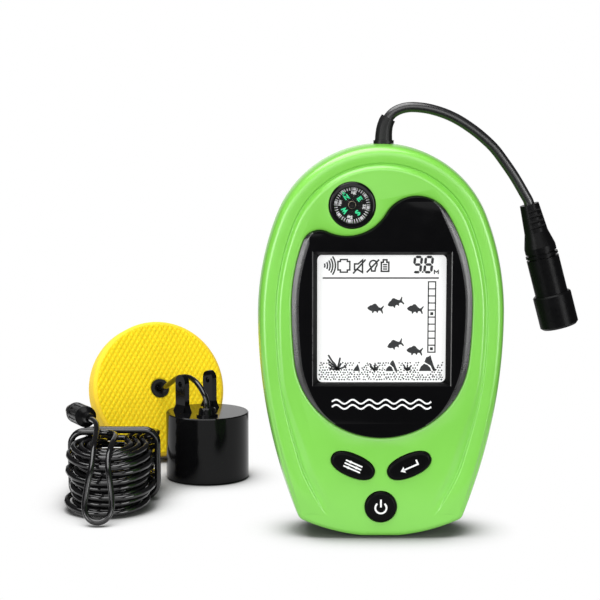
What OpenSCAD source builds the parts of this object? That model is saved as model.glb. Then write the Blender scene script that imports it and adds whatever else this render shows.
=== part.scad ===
// Handheld fish finder: standing display, wired sonar sensor, foam float and cable
// Origin under the foot of the display, +Z up, the display faces -Y, sizes in mm

/* [Display housing] */
// Width of the housing at its widest line
body_w = 90; // [88:0.5:94]
// Height of the housing
body_h = 144; // [142:0.5:148]
// Height of the widest line above the foot
widest_z = 82; // [80:0.5:84]
// How much smaller the radius of the crown is than half the width
crown_ease = 4; // [3:0.5:5]
// Radius of each flank below the widest line
flank_r = 202; // [195:1:215]
// Radius of the bottom edge
bottom_r = 70; // [66:1:76]
// Radius of the two bottom corners
corner_r = 4; // [3.9:0.05:4.6]
// Width of the flat foot
foot_w = 14; // [12:0.5:18]
// Depth of the front shell ahead of the seam
front_depth = 12.6; // [12.4:0.1:13.4]
// Depth of the rear shell behind the seam
rear_depth = 15; // [14.8:0.1:16]
// Wall of both shells
wall = 2.6; // [2.4:0.05:2.8]
// Thickness of the front face
face_t = 2.4; // [2.2:0.05:2.5]
// Thickness of the back face
back_t = 3; // [2.8:0.1:3.4]
// Width of the rim around the raised panel
rim_w = 7.3; // [6.8:0.1:7.6]
// Height by which the panel stands over the rim at the crown
panel_rise = 0.9; // [0.6:0.1:1.1]
// Height by which the rim's crest stands over its foot
rim_crest = 0.5; // [0.3:0.05:0.7]
// Depth of the valley between the rim and the panel
rim_dip = 0.55; // [0.4:0.05:0.7]
// Height at which the panel and the rim are level
level_z = 41; // [36:1:48]
// Width of the seal between the shells
seal_w = 0.8; // [0.6:0.05:0.9]
// Depth of the seal on each side of the seam
seal_h = 0.6; // [0.4:0.05:0.8]

/* [Bezel and screen] */
// Half width of the bezel
bezel_half = 32.6; // [32.1:0.1:33.1]
// Height of the widest line of the bezel
bezel_wide_z = 86; // [84:0.5:88]
// Radius of the round bottom of the bezel
bezel_low_r = 31.7; // [31.2:0.1:31.9]
// Height of the lowest point of the bezel
bezel_low_z = 37.4; // [36.5:0.1:38]
// Radius of the right hump of the bezel
hump_r = 12.6; // [12:0.1:13]
// Radius of the left hump of the bezel
shoulder_r = 6.2; // [5.8:0.1:6.6]
// Radius of the dip under the compass
dip_r = 16.5; // [15.5:0.1:17.5]
// Height of the bezel over the panel
bezel_rise = 1.2; // [0.8:0.1:1.6]
// Width of the sloping edge of the bezel
bezel_slope = 2.6; // [2:0.1:3]
// Gap between the bezel and the front shell
bezel_gap = 0.15; // [0.1:0.01:0.2]
// Width of the flange behind the bezel
flange_w = 1.2; // [1:0.05:1.25]
// Thickness of the flange behind the bezel
flange_t = 1.4; // [1.2:0.05:1.6]
// Side of the square screen opening
screen_w = 46.8; // [46:0.1:47.4]
// Height of the middle of the screen
screen_z = 81; // [80.5:0.1:81.5]
// Width of the bevel at the sides of the screen
screen_bevel = 1.8; // [1.4:0.1:2.2]
// Width of the bevel along the top of the screen
screen_bevel_top = 1.5; // [1.2:0.1:2]
// Width of the bevel along the bottom of the screen
screen_bevel_low = 0.8; // [0.5:0.1:1.2]
// Thickness of the window
window_t = 1.2; // [1:0.05:1.4]
// Thickness of the liquid crystal cell
lcd_t = 2.2; // [1.8:0.1:2.3]
// Thickness of the light guide behind the screen
light_t = 1.8; // [1.5:0.05:1.9]

/* [Keys] */
// Length of the two oval keys
oval_l = 16.6; // [16:0.1:17.2]
// Width of the two oval keys
oval_w = 8.2; // [7.6:0.1:8.6]
// Tilt of the oval keys
oval_tilt = 24; // [20:1:28]
// Distance of each oval key from the centre line
oval_x = 10.3; // [10:0.1:10.8]
// Height of the oval keys
oval_z = 27.2; // [26.4:0.1:27.6]
// Diameter of the round power key
power_d = 11.4; // [10.8:0.1:11.8]
// Height of the middle of the power key
power_z = 11.8; // [11:0.1:12]
// Height of the keys over the panel
key_rise = 1.3; // [1:0.05:1.6]
// Gap around each key
key_gap = 0.3; // [0.25:0.05:0.4]
// Travel of the keys
key_travel = 0.8; // [0.5:0.05:0.9]
// Width of the flange that keeps a key in
key_flange = 0.8; // [0.7:0.05:0.9]

/* [Compass] */
// Outer diameter of the compass
compass_d = 16.8; // [16.2:0.1:17.2]
// Sideways place of the compass
compass_x = -10.9; // [-11.4:0.1:-10.4]
// Height of the middle of the compass
compass_z = 122.4; // [121.5:0.1:123]
// Width of the black ring of the compass
compass_ring = 1.9; // [1.6:0.05:2.1]
// Depth of the compass
compass_h = 7.1; // [6.8:0.1:7.4]
// Height of the compass over the panel
compass_rise = 0.6; // [0.3:0.05:0.8]
// Diameter of the pivot of the compass
pivot_d = 1; // [0.8:0.05:1.2]

/* [Battery bay] */
// Diameter of a battery cell
cell_d = 10.4; // [10.2:0.05:10.5]
// Length of a battery cell with its button
cell_l = 44.5; // [44:0.1:44.8]
// Number of battery cells
cell_count = 4; // [2:1:4]
// Distance between neighbouring cells
cell_pitch = 10.8; // [10.6:0.05:11]
// Free length of a contact spring
spring_l = 4.2; // [3.8:0.1:4.4]
// Thickness of the battery cover
cover_t = 1.7; // [1.5:0.05:1.9]
// Gap around the battery cover
cover_gap = 0.25; // [0.2:0.05:0.4]
// Width of the ledge under the battery cover
cover_ledge = 3; // [2.6:0.1:3.2]
// Length of the battery cover below the bay, for its screw
cover_tab = 8; // [7.5:0.1:8.5]

/* [Fasteners] */
// Diameter of the screw shanks
screw_d = 2.4; // [2.2:0.05:2.6]
// Diameter of the screw heads
screw_head_d = 4.6; // [4.2:0.1:4.8]
// Height of the screw heads
screw_head_h = 1.8; // [1.5:0.1:2]
// Gap around screws in their holes
screw_gap = 0.1; // [0.06:0.01:0.15]
// Diameter of the screw bosses
boss_d = 6.6; // [6.4:0.1:6.8]

/* [Display lead] */
// Diameter of the lead
lead_d = 3.8; // [3.6:0.05:3.9]
// Height of the strain relief on the crown
boot_h = 9.6; // [9.2:0.1:10]
// Tilt of the strain relief at its tip
boot_tilt = 34; // [32:0.5:36]
// Diameter of the grip of the in-line socket
jack_d = 12; // [11.6:0.1:12.4]
// Diameter of the collar of the in-line socket
collar_d = 14.2; // [13.8:0.1:14.6]
// Length of the collar of the in-line socket
collar_l = 12.6; // [12:0.2:13.2]
// Bore of the in-line socket
socket_bore = 5.6; // [5.5:0.02:5.8]
// Depth of the in-line socket
socket_depth = 9.5; // [9:0.1:10]
// Diameter of the pin in the in-line socket
jack_pin_d = 2.1; // [2:0.02:2.3]

/* [Sensor] */
// Diameter of the sensor
sensor_d = 35; // [34:0.2:36]
// Height of the sensor
sensor_h = 28; // [27:0.2:29]
// Wall of the sensor cup
sensor_wall = 2; // [1.6:0.1:2.4]
// Floor of the sensor cup, which sound passes through
sensor_floor = 2; // [1.6:0.1:2.4]
// Thickness of the lid of the sensor
lid_t = 2.5; // [2.2:0.1:3]
// Height of the two lugs over the lid
lug_h = 15.8; // [15.2:0.1:16.4]
// Width of the lugs
lug_w = 6; // [5.4:0.1:6.6]
// Thickness of the lugs
lug_t = 2.5; // [2.2:0.1:2.8]
// Distance between the lugs
lug_span = 15.5; // [15:0.1:16.5]
// Distance of the lugs from the middle of the lid
lug_back = 7; // [6.5:0.1:7.5]
// Diameter of the eye in each lug
eye_d = 2.4; // [2:0.05:2.6]
// Diameter of the cable gland
gland_d = 7.4; // [7:0.1:7.8]
// Height of the cable gland over the lid
gland_h = 3.6; // [3.4:0.1:4]
// Number of flutes on the cable gland
gland_flutes = 14; // [10:1:18]
// Diameter of the sensor cable
cable_d = 2.3; // [2.1:0.05:2.35]

/* [Float] */
// Diameter of the float
float_d = 60; // [58:0.5:62]
// Thickness of the float
float_t = 12; // [11:0.25:12.5]
// Rounding of the edges of the float
float_edge = 1.6; // [1:0.1:2.4]
// Diameter of the bush in the float
bush_d = 8; // [7.4:0.1:8.6]
// Gap between the bush and the float
bush_gap = 0.1; // [0.06:0.01:0.15]
// Gap between the bush and the cable
bush_bore_gap = 0.3; // [0.25:0.05:0.5]

/* [Cable hank and plug] */
// Loops in each layer of the hank
hank_loops = 3; // [2:1:3]
// Half length of the straight runs of the hank
hank_run = 15; // [14.5:0.1:16]
// Half width of the outermost loop
hank_half = 17; // [17:0.1:17.6]
// Distance between neighbouring loops
hank_step = 3.06; // [3.05:0.01:3.1]
// Distance between neighbouring layers
hank_layer = 2.8; // [2.75:0.01:2.9]
// Amount by which the waist is drawn in
hank_waist = 4; // [3.6:0.1:4]
// Diameter of the grip of the plug
plug_d = 8.8; // [8.4:0.1:9.2]
// Length of the grip of the plug
plug_l = 21; // [20:0.5:22]
// Diameter of the metal barrel of the plug
barrel_d = 5.5; // [5.4:0.02:5.58]
// Length of the metal barrel of the plug
barrel_l = 9.5; // [9:0.1:10]

/* [Hidden] */
$fn = 48;
eps = 0.01;

// Depths of the display, from the seam at y = 0
panel_y = -front_depth;
inner_y = panel_y + face_t;
window_y = inner_y - 0.8;
lcd_y = window_y + window_t;
light_y = lcd_y + lcd_t + 0.05;
board_y = light_y + light_t + 0.3;
board_t = 1.6;
cover_y = rear_depth - cover_t;
cavity_y = rear_depth - back_t;

// Outline of the housing and of its raised panel: half width, top, widest line, crown radius,
// flank radius, bottom radius, corner radius, half of the flat, base
crown_r = body_w / 2 - crown_ease;
body_egg = [body_w / 2, body_h, widest_z, crown_r, flank_r, bottom_r, corner_r, foot_w / 2, 0];
panel_base = 4.5;
panel_corner_r = 6;
panel_egg = [body_w / 2 - rim_w, body_h - rim_w, widest_z, crown_r - rim_w, flank_r - rim_w,
    bottom_r - rim_w, panel_corner_r, foot_w / 2 - 2, panel_base];
valley_in = 0.55;
rim_slope = panel_rise / (body_h - rim_w - level_z);
max_inset = corner_r - 0.3;

function unit(v) = v / norm(v);
function arc(c, r, from, to, n) =
    [for (i = [0 : n - 1]) c + r * [cos(from + (to - from) * i / n), sin(from + (to - from) * i / n)]];
function mirrored(p) = [for (i = [len(p) - 1 : -1 : 0]) [-p[i][0], p[i][1]]];

// Large arc that ends level at half width w and runs tangent into a smaller arc of radius r
// whose centre lies e inside that width and dz away from its height
function side_radius(e, dz, r) = (e * e + dz * dz - r * r) / (2 * (e - r));

// Lower crossing of two circles
function crossing(p, rp, q, rq) =
    let (d = norm(q - p), a = (rp * rp - rq * rq + d * d) / (2 * d), h = sqrt(rp * rp - a * a),
        u = (q - p) / d)
    p + a * u + h * [u[1], -u[0]];

// Egg-shaped outline of tangent arcs, every arc moved inwards by the same inset
function egg(g, inset) =
    let (w = g[0], crown = [0, g[1] - g[3]], upper_r = side_radius(w, crown[1] - g[2], g[3]),
        upper = [w - upper_r, g[2]], lower = [w - g[4], g[2]],
        low = [0, g[8] + sqrt(g[5] * g[5] - g[7] * g[7])],
        corner = crossing(lower, g[4] - g[6], low, g[5] - g[6]),
        a = atan2(crown[1] - upper[1], crown[0] - upper[0]),
        b = atan2(corner[1] - lower[1], corner[0] - lower[0]),
        c = atan2(corner[1] - low[1], corner[0] - low[0]),
        foot = acos((low[1] - g[8] - inset) / (g[5] - inset)),
        right = concat(arc(crown, g[3] - inset, 90, a, 10), arc(upper, upper_r - inset, a, 0, 6),
            arc(lower, g[4] - inset, 0, b, 10), arc(corner, g[6] - inset, b, c, 4),
            arc(low, g[5] - inset, c, foot - 90, 4),
            [low + (g[5] - inset) * [sin(foot), -cos(foot)]]))
    concat(mirrored([for (i = [1 : len(right) - 1]) right[i]]), right);

// Outline of the bezel: two humps with a dip between them, over a round bottom
compass_land = 2.7;
dip_shift = -1.9;
dip_c = [compass_x + dip_shift, compass_z - compass_d / 2 - compass_land + dip_r];
hump_turn = -30.2;
shoulder_turn = 244.5;
hump_c = dip_c + (dip_r + hump_r) * [cos(hump_turn), sin(hump_turn)];
shoulder_c = dip_c + (dip_r + shoulder_r) * [cos(shoulder_turn), sin(shoulder_turn)];
low_c = [0, bezel_low_z + bezel_low_r];
hump_side = side_radius(bezel_half - hump_c[0], hump_c[1] - bezel_wide_z, hump_r);
shoulder_side = side_radius(bezel_half + shoulder_c[0], shoulder_c[1] - bezel_wide_z, shoulder_r);
low_side = side_radius(bezel_half, bezel_wide_z - low_c[1], bezel_low_r);
function bezel_outline(inset) =
    let (hs = [bezel_half - hump_side, bezel_wide_z], ss = [shoulder_side - bezel_half, bezel_wide_z],
        ls = bezel_half - low_side, a = atan2(hump_c[1] - hs[1], hump_c[0] - hs[0]),
        b = atan2(shoulder_c[1] - ss[1], shoulder_c[0] - ss[0]), c = atan2(low_c[1] - bezel_wide_z, -ls))
    concat(arc(hs, hump_side - inset, a, 0, 6), arc([ls, bezel_wide_z], low_side - inset, 0, c, 3),
        arc(low_c, bezel_low_r - inset, c, -180 - c, 18),
        arc([-ls, bezel_wide_z], low_side - inset, 180 - c, 180, 3), arc(ss, shoulder_side - inset, 180, b, 5),
        arc(shoulder_c, shoulder_r - inset, b, shoulder_turn - 180, 7),
        arc(dip_c, dip_r + inset, shoulder_turn, 360 + hump_turn, 8),
        arc(hump_c, hump_r - inset, 180 + hump_turn, a, 10));

// Slightly squared oval of the two long keys
function oval(inset) = [for (t = [0 : 10 : 350])
    let (c = cos(t), s = sin(t), k = pow(pow(abs(c), 2.3) + pow(abs(s), 2.3), -1 / 2.3))
    [(oval_l / 2 - inset) * k * c, (oval_w / 2 - inset) * k * s]];

// Ring of points at depth y; lean tips the ring towards the front below level_z
function ring(outline, y, lean = 0) = [for (p = outline) [p[0], y + lean * (p[1] - level_z), p[1]]];

// Solid through a list of rings with the same count of points
module loft(rings) {
    n = len(rings[0]);
    m = len(rings);
    sides = [for (i = [0 : m - 2], j = [0 : n - 1]) let (k = (j + 1) % n)
        [i * n + j, i * n + k, (i + 1) * n + k, (i + 1) * n + j]];
    first = [for (j = [n - 1 : -1 : 0]) j];
    last = [for (j = [0 : n - 1]) (m - 1) * n + j];
    polyhedron([for (r = rings, p = r) p], concat([first], sides, [last]));
}

// Flat outline in the front view, made solid from depth y0 to y1
module slab(y0, y1) {
    translate([0, y1, 0]) rotate([90, 0, 0]) linear_extrude(y1 - y0) children();
}

// Cylinder along Y, from depth y0 to y1
module post(x, z, d, y0, y1) {
    translate([x, y1, z]) rotate([90, 0, 0]) cylinder(d = d, h = y1 - y0);
}

module rounded_box(w, h, r) {
    for (x = [-1, 1], y = [-1, 1]) translate([x * (w / 2 - r), y * (h / 2 - r)]) circle(r);
    square([w - 2 * r, h], center = true);
    square([w, h - 2 * r], center = true);
}

// Places of the six screws that hold the shells together
boss_inset = 8.3;
boss_places = [[body_w / 2 - boss_inset, 104], [body_w / 2 - boss_inset + 0.5, 60], [24, 16]];
boss_front_y = inner_y + 1;
head_seat_y = 8;
module at_bosses() {
    for (s = [-1, 1], p = boss_places) translate([s * p[0], 0, p[1]]) children();
}

// Posts that carry the board, beside the bezel
board_half = 31;
board_top = 109;
board_step = 40;
board_low_half = 18;
board_low = 7.5;
board_post_d = 4.4;
board_posts = [[27.6, 43.6], [-27.6, 43.6]];

// Compass well
well_gap = 0.15;
well_wall = 1;
well_floor = 1;
compass_y = panel_y - compass_rise;
compass_back = compass_y + compass_h;

// Battery bay, open to the back
bay_gap = 0.6;
plate_t = 0.4;
bay_w = cell_count * cell_pitch + bay_gap;
bay_h = cell_l + spring_l + 2 * plate_t + bay_gap;
bay_z = 80;
bay_wall = 1.4;
bay_floor_t = 1.2;
cell_y = cover_y - 1.2 - cell_d / 2;
bay_y = cell_y - cell_d / 2 - 0.15;
bay_low = bay_z - bay_h / 2;
cover_corner = 4;
cover_w = bay_w + 2 * cover_ledge;
cover_h = bay_h + cover_ledge + cover_tab;
cover_z = bay_z + (cover_ledge - cover_tab) / 2;
cover_screw_z = bay_low - cover_tab / 2 - 0.4;
cover_boss_d = 6;

// Cable outlet on the crown
boot_x = 0.8;
neck_d = 5;
neck_gap = 0.1;

module front_shell() {
    color("yellowgreen") difference() {
        union() {
            difference() {
                loft([ring(egg(body_egg, 0), 0), ring(egg(body_egg, 0), -5),
                    ring(egg(body_egg, 0.4), -8, rim_slope / 2),
                    ring(egg(body_egg, 1.4), panel_y + 2, rim_slope),
                    ring(egg(body_egg, 2.9), panel_y + 0.2 - rim_crest / 2, rim_slope),
                    ring(egg(body_egg, max_inset), panel_y - rim_crest, rim_slope),
                    ring(egg(panel_egg, -valley_in), panel_y + rim_dip, rim_slope),
                    ring(egg(panel_egg, 0.1), panel_y + rim_dip * 0.6, rim_slope * 0.6),
                    ring(egg(panel_egg, 0.6), panel_y + rim_dip * 0.1, rim_slope / 8),
                    ring(egg(panel_egg, 1.2), panel_y)]);
                loft([ring(egg(body_egg, wall), 1), ring(egg(body_egg, wall), -6),
                    ring(egg(body_egg, wall + 0.4), -8.4), ring(egg(body_egg, max_inset), inner_y)]);
            }
            at_bosses() post(0, 0, boss_d, inner_y - eps, 0);
            for (p = board_posts) post(p[0], p[1], board_post_d, inner_y - eps, board_y);
            post(compass_x, compass_z, compass_d + 2 * (well_gap + well_wall), inner_y - eps,
                compass_back + well_floor);
        }
        slab(panel_y - 3, inner_y + eps) polygon(bezel_outline(-bezel_gap));
        at_bosses() post(0, 0, screw_d + 2 * screw_gap, boss_front_y, 1);
        post(compass_x, compass_z, compass_d + 2 * well_gap, panel_y - 3, compass_back);
        for (s = [-1, 1]) translate([s * oval_x, 0, oval_z]) rotate([0, -s * oval_tilt, 0])
            slab(panel_y - 3, inner_y + 1) polygon(oval(-key_gap));
        post(0, power_z, power_d + 2 * key_gap, panel_y - 3, inner_y + 1);
        seal_groove();
        outlet_bore();
    }
}

module seal_groove() {
    slab(-seal_h, seal_h) seal_outline();
}

module seal_outline() {
    difference() {
        polygon(egg(body_egg, (wall - seal_w) / 2));
        polygon(egg(body_egg, (wall + seal_w) / 2));
    }
}

module outlet_bore() {
    translate([boot_x, 0, body_h - wall - 4]) cylinder(d = neck_d + 2 * neck_gap, h = wall + 6);
}

module rear_shell() {
    color("olivedrab") difference() {
        union() {
            difference() {
                loft([ring(egg(body_egg, max_inset), rear_depth), ring(egg(body_egg, 3), rear_depth - 0.7),
                    ring(egg(body_egg, 1.5), rear_depth - 3), ring(egg(body_egg, 0.5), 9),
                    ring(egg(body_egg, 0), 5.5), ring(egg(body_egg, 0), 0)]);
                loft([ring(egg(body_egg, max_inset), cavity_y), ring(egg(body_egg, wall + 0.4), 9),
                    ring(egg(body_egg, wall), 6), ring(egg(body_egg, wall), -1)]);
            }
            at_bosses() post(0, 0, boss_d, 0, cavity_y + eps);
            translate([0, 0, bay_z]) slab(bay_y - bay_floor_t, cavity_y + eps)
                square([bay_w + 2 * bay_wall, bay_h + 2 * bay_wall], center = true);
            post(0, cover_screw_z, cover_boss_d, bay_y, cavity_y + eps);
        }
        at_bosses() post(0, 0, screw_d + 2 * screw_gap, -1, rear_depth);
        at_bosses() post(0, 0, screw_head_d + 2 * screw_gap, head_seat_y, rear_depth + 1);
        translate([0, 0, bay_z]) slab(bay_y, rear_depth + 1) square([bay_w, bay_h], center = true);
        translate([0, 0, cover_z]) slab(cover_y - 0.05, rear_depth + 1)
            rounded_box(cover_w, cover_h, cover_corner);
        post(0, cover_screw_z, screw_d + 2 * screw_gap, bay_y + 1, rear_depth);
        seal_groove();
        outlet_bore();
    }
}

module case_seal() {
    color("dimgray") difference() {
        seal_groove();
        outlet_bore();
    }
}

module screen_frustum(front_y, back_y) {
    half = screen_w / 2;
    function level(y, f) = let (x = half + f * screen_bevel, z1 = screen_z + half + f * screen_bevel_top,
        z0 = screen_z - half - f * screen_bevel_low)
        [[-x, y, z1], [x, y, z1], [x, y, z0], [-x, y, z0]];
    loft([level(back_y, 0), level(front_y, 1)]);
}

window_lap = 1.5;
window_w = screen_w + 2 * window_lap;
lcd_lap = 2.4;
lcd_w = screen_w + 2 * lcd_lap;
seat_gap = 0.1;
module bezel() {
    front_y = panel_y - bezel_rise;
    back_y = inner_y + flange_t;
    color("black") difference() {
        loft([ring(bezel_outline(-flange_w), back_y), ring(bezel_outline(-flange_w), inner_y),
            ring(bezel_outline(0), inner_y), ring(bezel_outline(0), panel_y - 0.1),
            ring(bezel_outline(bezel_slope * 0.35), panel_y - bezel_rise * 0.55),
            ring(bezel_outline(bezel_slope), front_y)]);
        screen_frustum(front_y - eps, window_y - 0.3);
        screen_cut(screen_w, window_y - 1);
        screen_cut(window_w + 2 * seat_gap, window_y);
        screen_cut(lcd_w + 2 * seat_gap, lcd_y);
    }
}

module screen_cut(w, from_y) {
    translate([-w / 2, from_y, screen_z - w / 2]) cube([w, inner_y + flange_t + 1 - from_y, w]);
}

module window() {
    color("lightcyan", 0.4) translate([0, 0, screen_z]) slab(window_y, lcd_y) square(window_w, center = true);
}

module lcd_cell() {
    color("gainsboro") translate([0, 0, screen_z]) slab(lcd_y, lcd_y + lcd_t) square(lcd_w, center = true);
}

module light_guide() {
    color("white") translate([0, 0, screen_z]) slab(light_y, light_y + light_t) square(lcd_w, center = true);
}

chip_w = 10;
chip_t = 1.4;
chip_z = 34;
module main_board() {
    color("darkgreen") union() {
        slab(board_y, board_y + board_t) translate([-board_half, board_step])
            square([2 * board_half, board_top - board_step]);
        slab(board_y, board_y + board_t) translate([-board_low_half, board_low])
            square([2 * board_low_half, board_step - board_low + eps]);
        slab(board_y + board_t - eps, board_y + board_t + chip_t) translate([-chip_w, chip_z - chip_w / 2])
            square(chip_w);
    }
}

buzzer_d = 12;
buzzer_t = 3.4;
buzzer_x = 9;
module buzzer() {
    color("black") difference() {
        post(buzzer_x, chip_z, buzzer_d, board_y + board_t, board_y + board_t + buzzer_t);
        post(buzzer_x, chip_z, 2, board_y + board_t + 1, board_y + board_t + buzzer_t + 1);
    }
}

// One switch under each key, its plunger just out of reach of a pressed key
key_places = [[-oval_x, oval_z], [oval_x, oval_z], [0, power_z]];
key_back_y = inner_y + key_flange + 0.05;
plunger_y = key_back_y + key_travel + 0.1;
switch_w = 6;
plunger_d = 3.4;
plunger_h = 0.5;
module key_switches() {
    color("silver") for (p = key_places) {
        translate([p[0], 0, p[1]]) slab(plunger_y + plunger_h, board_y) square(switch_w, center = true);
        post(p[0], p[1], plunger_d, plunger_y, plunger_y + plunger_h + eps);
    }
}

// Cells lie side by side, every second one turned end for end
button_d = 3.8;
button_h = 1;
module at_cells() {
    for (i = [0 : cell_count - 1])
        translate([(i - (cell_count - 1) / 2) * cell_pitch, cell_y, bay_z])
            rotate([0, i % 2 * 180, 0]) children();
}
cell_low = -bay_h / 2 + plate_t + spring_l + 0.2;
module battery_cells() {
    color("darkslategray") at_cells() translate([0, 0, cell_low]) {
        cylinder(d = cell_d, h = cell_l - button_h);
        cylinder(d = button_d, h = cell_l);
    }
}

plate_w = 8;
module battery_plates() {
    color("silver") at_cells() {
        for (z = [-bay_h / 2, bay_h / 2 - plate_t]) translate([-plate_w / 2, -plate_w / 2, z])
            cube([plate_w, plate_w, plate_t]);
    }
}

// Coned contact springs
spring_turns = 3.5;
spring_wire = 0.6;
spring_wide = 3.2;
spring_tip = 1.7;
spring_steps = 28;
function spring_point(f) = let (a = 360 * spring_turns * f, r = spring_wide + (spring_tip - spring_wide) * f)
    [r * cos(a), r * sin(a), -bay_h / 2 + plate_t + spring_wire / 2 + 0.05 + (spring_l - spring_wire) * f];
module battery_springs() {
    color("lightgray") at_cells() tube([for (i = [0 : spring_steps]) spring_point(i / spring_steps)],
        spring_wire, 6);
}

screw_slot_l = 3.2;
screw_slot_w = 0.6;
module screw(head_y, head_h, tip_y) {
    difference() {
        union() {
            post(0, 0, screw_head_d, head_y, head_y + head_h);
            post(0, 0, screw_d, tip_y, head_y + eps);
        }
        for (a = [0, 90]) rotate([0, a, 0])
            translate([-screw_slot_l / 2, head_y + head_h / 2, -screw_slot_w / 2])
                cube([screw_slot_l, head_h, screw_slot_w]);
    }
}

module case_screws() {
    color("dimgray") at_bosses() screw(head_seat_y, screw_head_h, boss_front_y + 0.5);
}

cover_lip = 1;
cover_lip_t = 0.8;
grip_ribs = 5;
cover_seat = 0.6;
module battery_cover() {
    color("olivedrab") difference() {
        union() {
            translate([0, 0, cover_z]) slab(cover_y, rear_depth)
                rounded_box(cover_w - 2 * cover_gap, cover_h - 2 * cover_gap, cover_corner - cover_gap);
            translate([0, 0, bay_z]) slab(cover_y - cover_lip_t, cover_y + eps) difference() {
                square([bay_w - 2 * cover_gap, bay_h - 2 * cover_gap], center = true);
                square([bay_w - 2 * cover_gap - 2 * cover_lip, bay_h - 2 * cover_gap - 2 * cover_lip],
                    center = true);
            }
        }
        for (i = [0 : grip_ribs - 1]) translate([0, 0, bay_z + bay_h / 2 - 4 - 2.4 * i])
            slab(rear_depth - 0.6, rear_depth + 1) square([24, 1.2], center = true);
        post(0, cover_screw_z, screw_d + 2 * screw_gap, 0, rear_depth + 1);
        post(0, cover_screw_z, screw_head_d + 2 * screw_gap, cover_y + cover_seat, rear_depth + 1);
    }
}

module cover_screw() {
    color("dimgray") translate([0, 0, cover_screw_z])
        screw(cover_y + cover_seat, cover_t - cover_seat - 0.1, bay_y + 2);
}

// Strain relief, bent over with the lead
boot_flange = 7.4;
boot_root_d = 6.4;
boot_tip_d = 5.5;
boot_ring_h = 1.2;
boot_steps = 6;
boot_step = (boot_h - boot_ring_h / 2) / boot_steps;
function boot_turn(i) = boot_tilt * pow(i / boot_steps, 2);
function boot_at(i) = i == 0 ? [boot_x, 0, body_h + boot_ring_h / 2] :
    boot_at(i - 1) + boot_step * [sin(boot_turn(i - 0.5)), 0, cos(boot_turn(i - 0.5))];
boot_path = [for (i = [0 : boot_steps]) boot_at(i)];
boot_tip = boot_path[boot_steps];
boot_axis = [sin(boot_tilt), 0, cos(boot_tilt)];
module lead_boot() {
    taper = [for (i = [0 : boot_steps]) boot_root_d + (boot_tip_d - boot_root_d) * i / boot_steps];
    color("black") difference() {
        union() {
            translate([boot_x, 0, body_h - wall - 0.4]) cylinder(d = neck_d, h = wall + 1);
            translate([boot_x, 0, body_h - wall - 1.6]) cylinder(d = neck_d + 2, h = 1.2);
            translate([boot_x, 0, body_h]) cylinder(d = boot_flange, h = boot_ring_h);
            tube(boot_path, taper, 32);
        }
        translate(boot_tip - 3 * boot_axis) rotate([0, boot_tilt, 0]) cylinder(d = lead_d + 0.2, h = 5);
    }
}

module compass_cup() {
    color("black") difference() {
        post(compass_x, compass_z, compass_d, compass_y, compass_back);
        post(compass_x, compass_z, compass_d - 2 * compass_ring, compass_y - 1, compass_back - 1);
    }
}

card_d = compass_d - 2 * compass_ring - 0.8;
card_y = compass_y + 2.6;
card_t = 0.5;
hub_d = 2.4;
pivot_gap = 0.05;
module compass_pivot() {
    color("goldenrod") union() {
        post(compass_x, compass_z, pivot_d, card_y - 0.4, compass_back - 1);
        post(compass_x, compass_z, pivot_d * 3, compass_back - 2, compass_back - 1);
    }
}

module compass_card() {
    color("white") difference() {
        union() {
            post(compass_x, compass_z, card_d, card_y, card_y + card_t);
            post(compass_x, compass_z, hub_d, card_y - 0.9, card_y + card_t + 0.6);
        }
        post(compass_x, compass_z, pivot_d + 2 * pivot_gap, card_y - 0.5, card_y + card_t + 1);
    }
}

lens_t = 1;
lens_dome_r = 30;
module compass_lens() {
    r = compass_d / 2 - compass_ring - 0.05;
    half = asin(r / lens_dome_r);
    dome = [for (i = [0 : 5]) let (a = half * (1 - i / 5))
        [lens_dome_r * sin(a), lens_dome_r * (cos(a) - cos(half))]];
    color("lightcyan", 0.4) translate([compass_x, compass_y, compass_z]) rotate([90, 0, 0])
        rotate_extrude() polygon(concat([[0, -lens_t], [r, -lens_t]], dome));
}

// Key with a rounded top and a flange behind the face
function key_levels() = [[0, (inner_y + key_back_y) / 2], [0, panel_y - key_rise * 0.45],
    [0.35, panel_y - key_rise * 0.8],
    [1.1, panel_y - key_rise]];
module oval_key(side) {
    color("black") translate([side * oval_x, 0, oval_z]) rotate([0, -side * oval_tilt, 0]) {
        loft([for (k = key_levels()) [for (p = oval_front(k[0])) [p[0], k[1], p[1]]]]);
        slab(inner_y + 0.05, key_back_y) polygon(oval(-key_flange));
    }
}
function oval_front(inset) = let (o = oval(inset)) [for (i = [len(o) - 1 : -1 : 0]) o[i]];

module left_key() {
    oval_key(-1);
}

module right_key() {
    oval_key(1);
}

module power_key() {
    r = power_d / 2;
    color("black") translate([0, 0, power_z]) rotate([90, 0, 0]) rotate_extrude() polygon([[0, -key_back_y],
        [r + key_flange, -key_back_y], [r + key_flange, -inner_y - 0.05], [r, -inner_y - 0.05],
        [r, -panel_y + key_rise * 0.45], [r - 0.35, -panel_y + key_rise * 0.8],
        [r - 1.1, -panel_y + key_rise], [0, -panel_y + key_rise]]);
}

// Smooth curve through chosen points
function blend(a, b, c, d, t) = 0.5 * (2 * b + (c - a) * t + (2 * a - 5 * b + 4 * c - d) * t * t
    + (3 * b - a - 3 * c + d) * t * t * t);
function curve(p, n) = concat([for (i = [0 : len(p) - 2], j = [0 : n - 1])
    blend(p[max(i - 1, 0)], p[i], p[i + 1], p[min(i + 2, len(p) - 1)], j / n)], [p[len(p) - 1]]);

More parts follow.
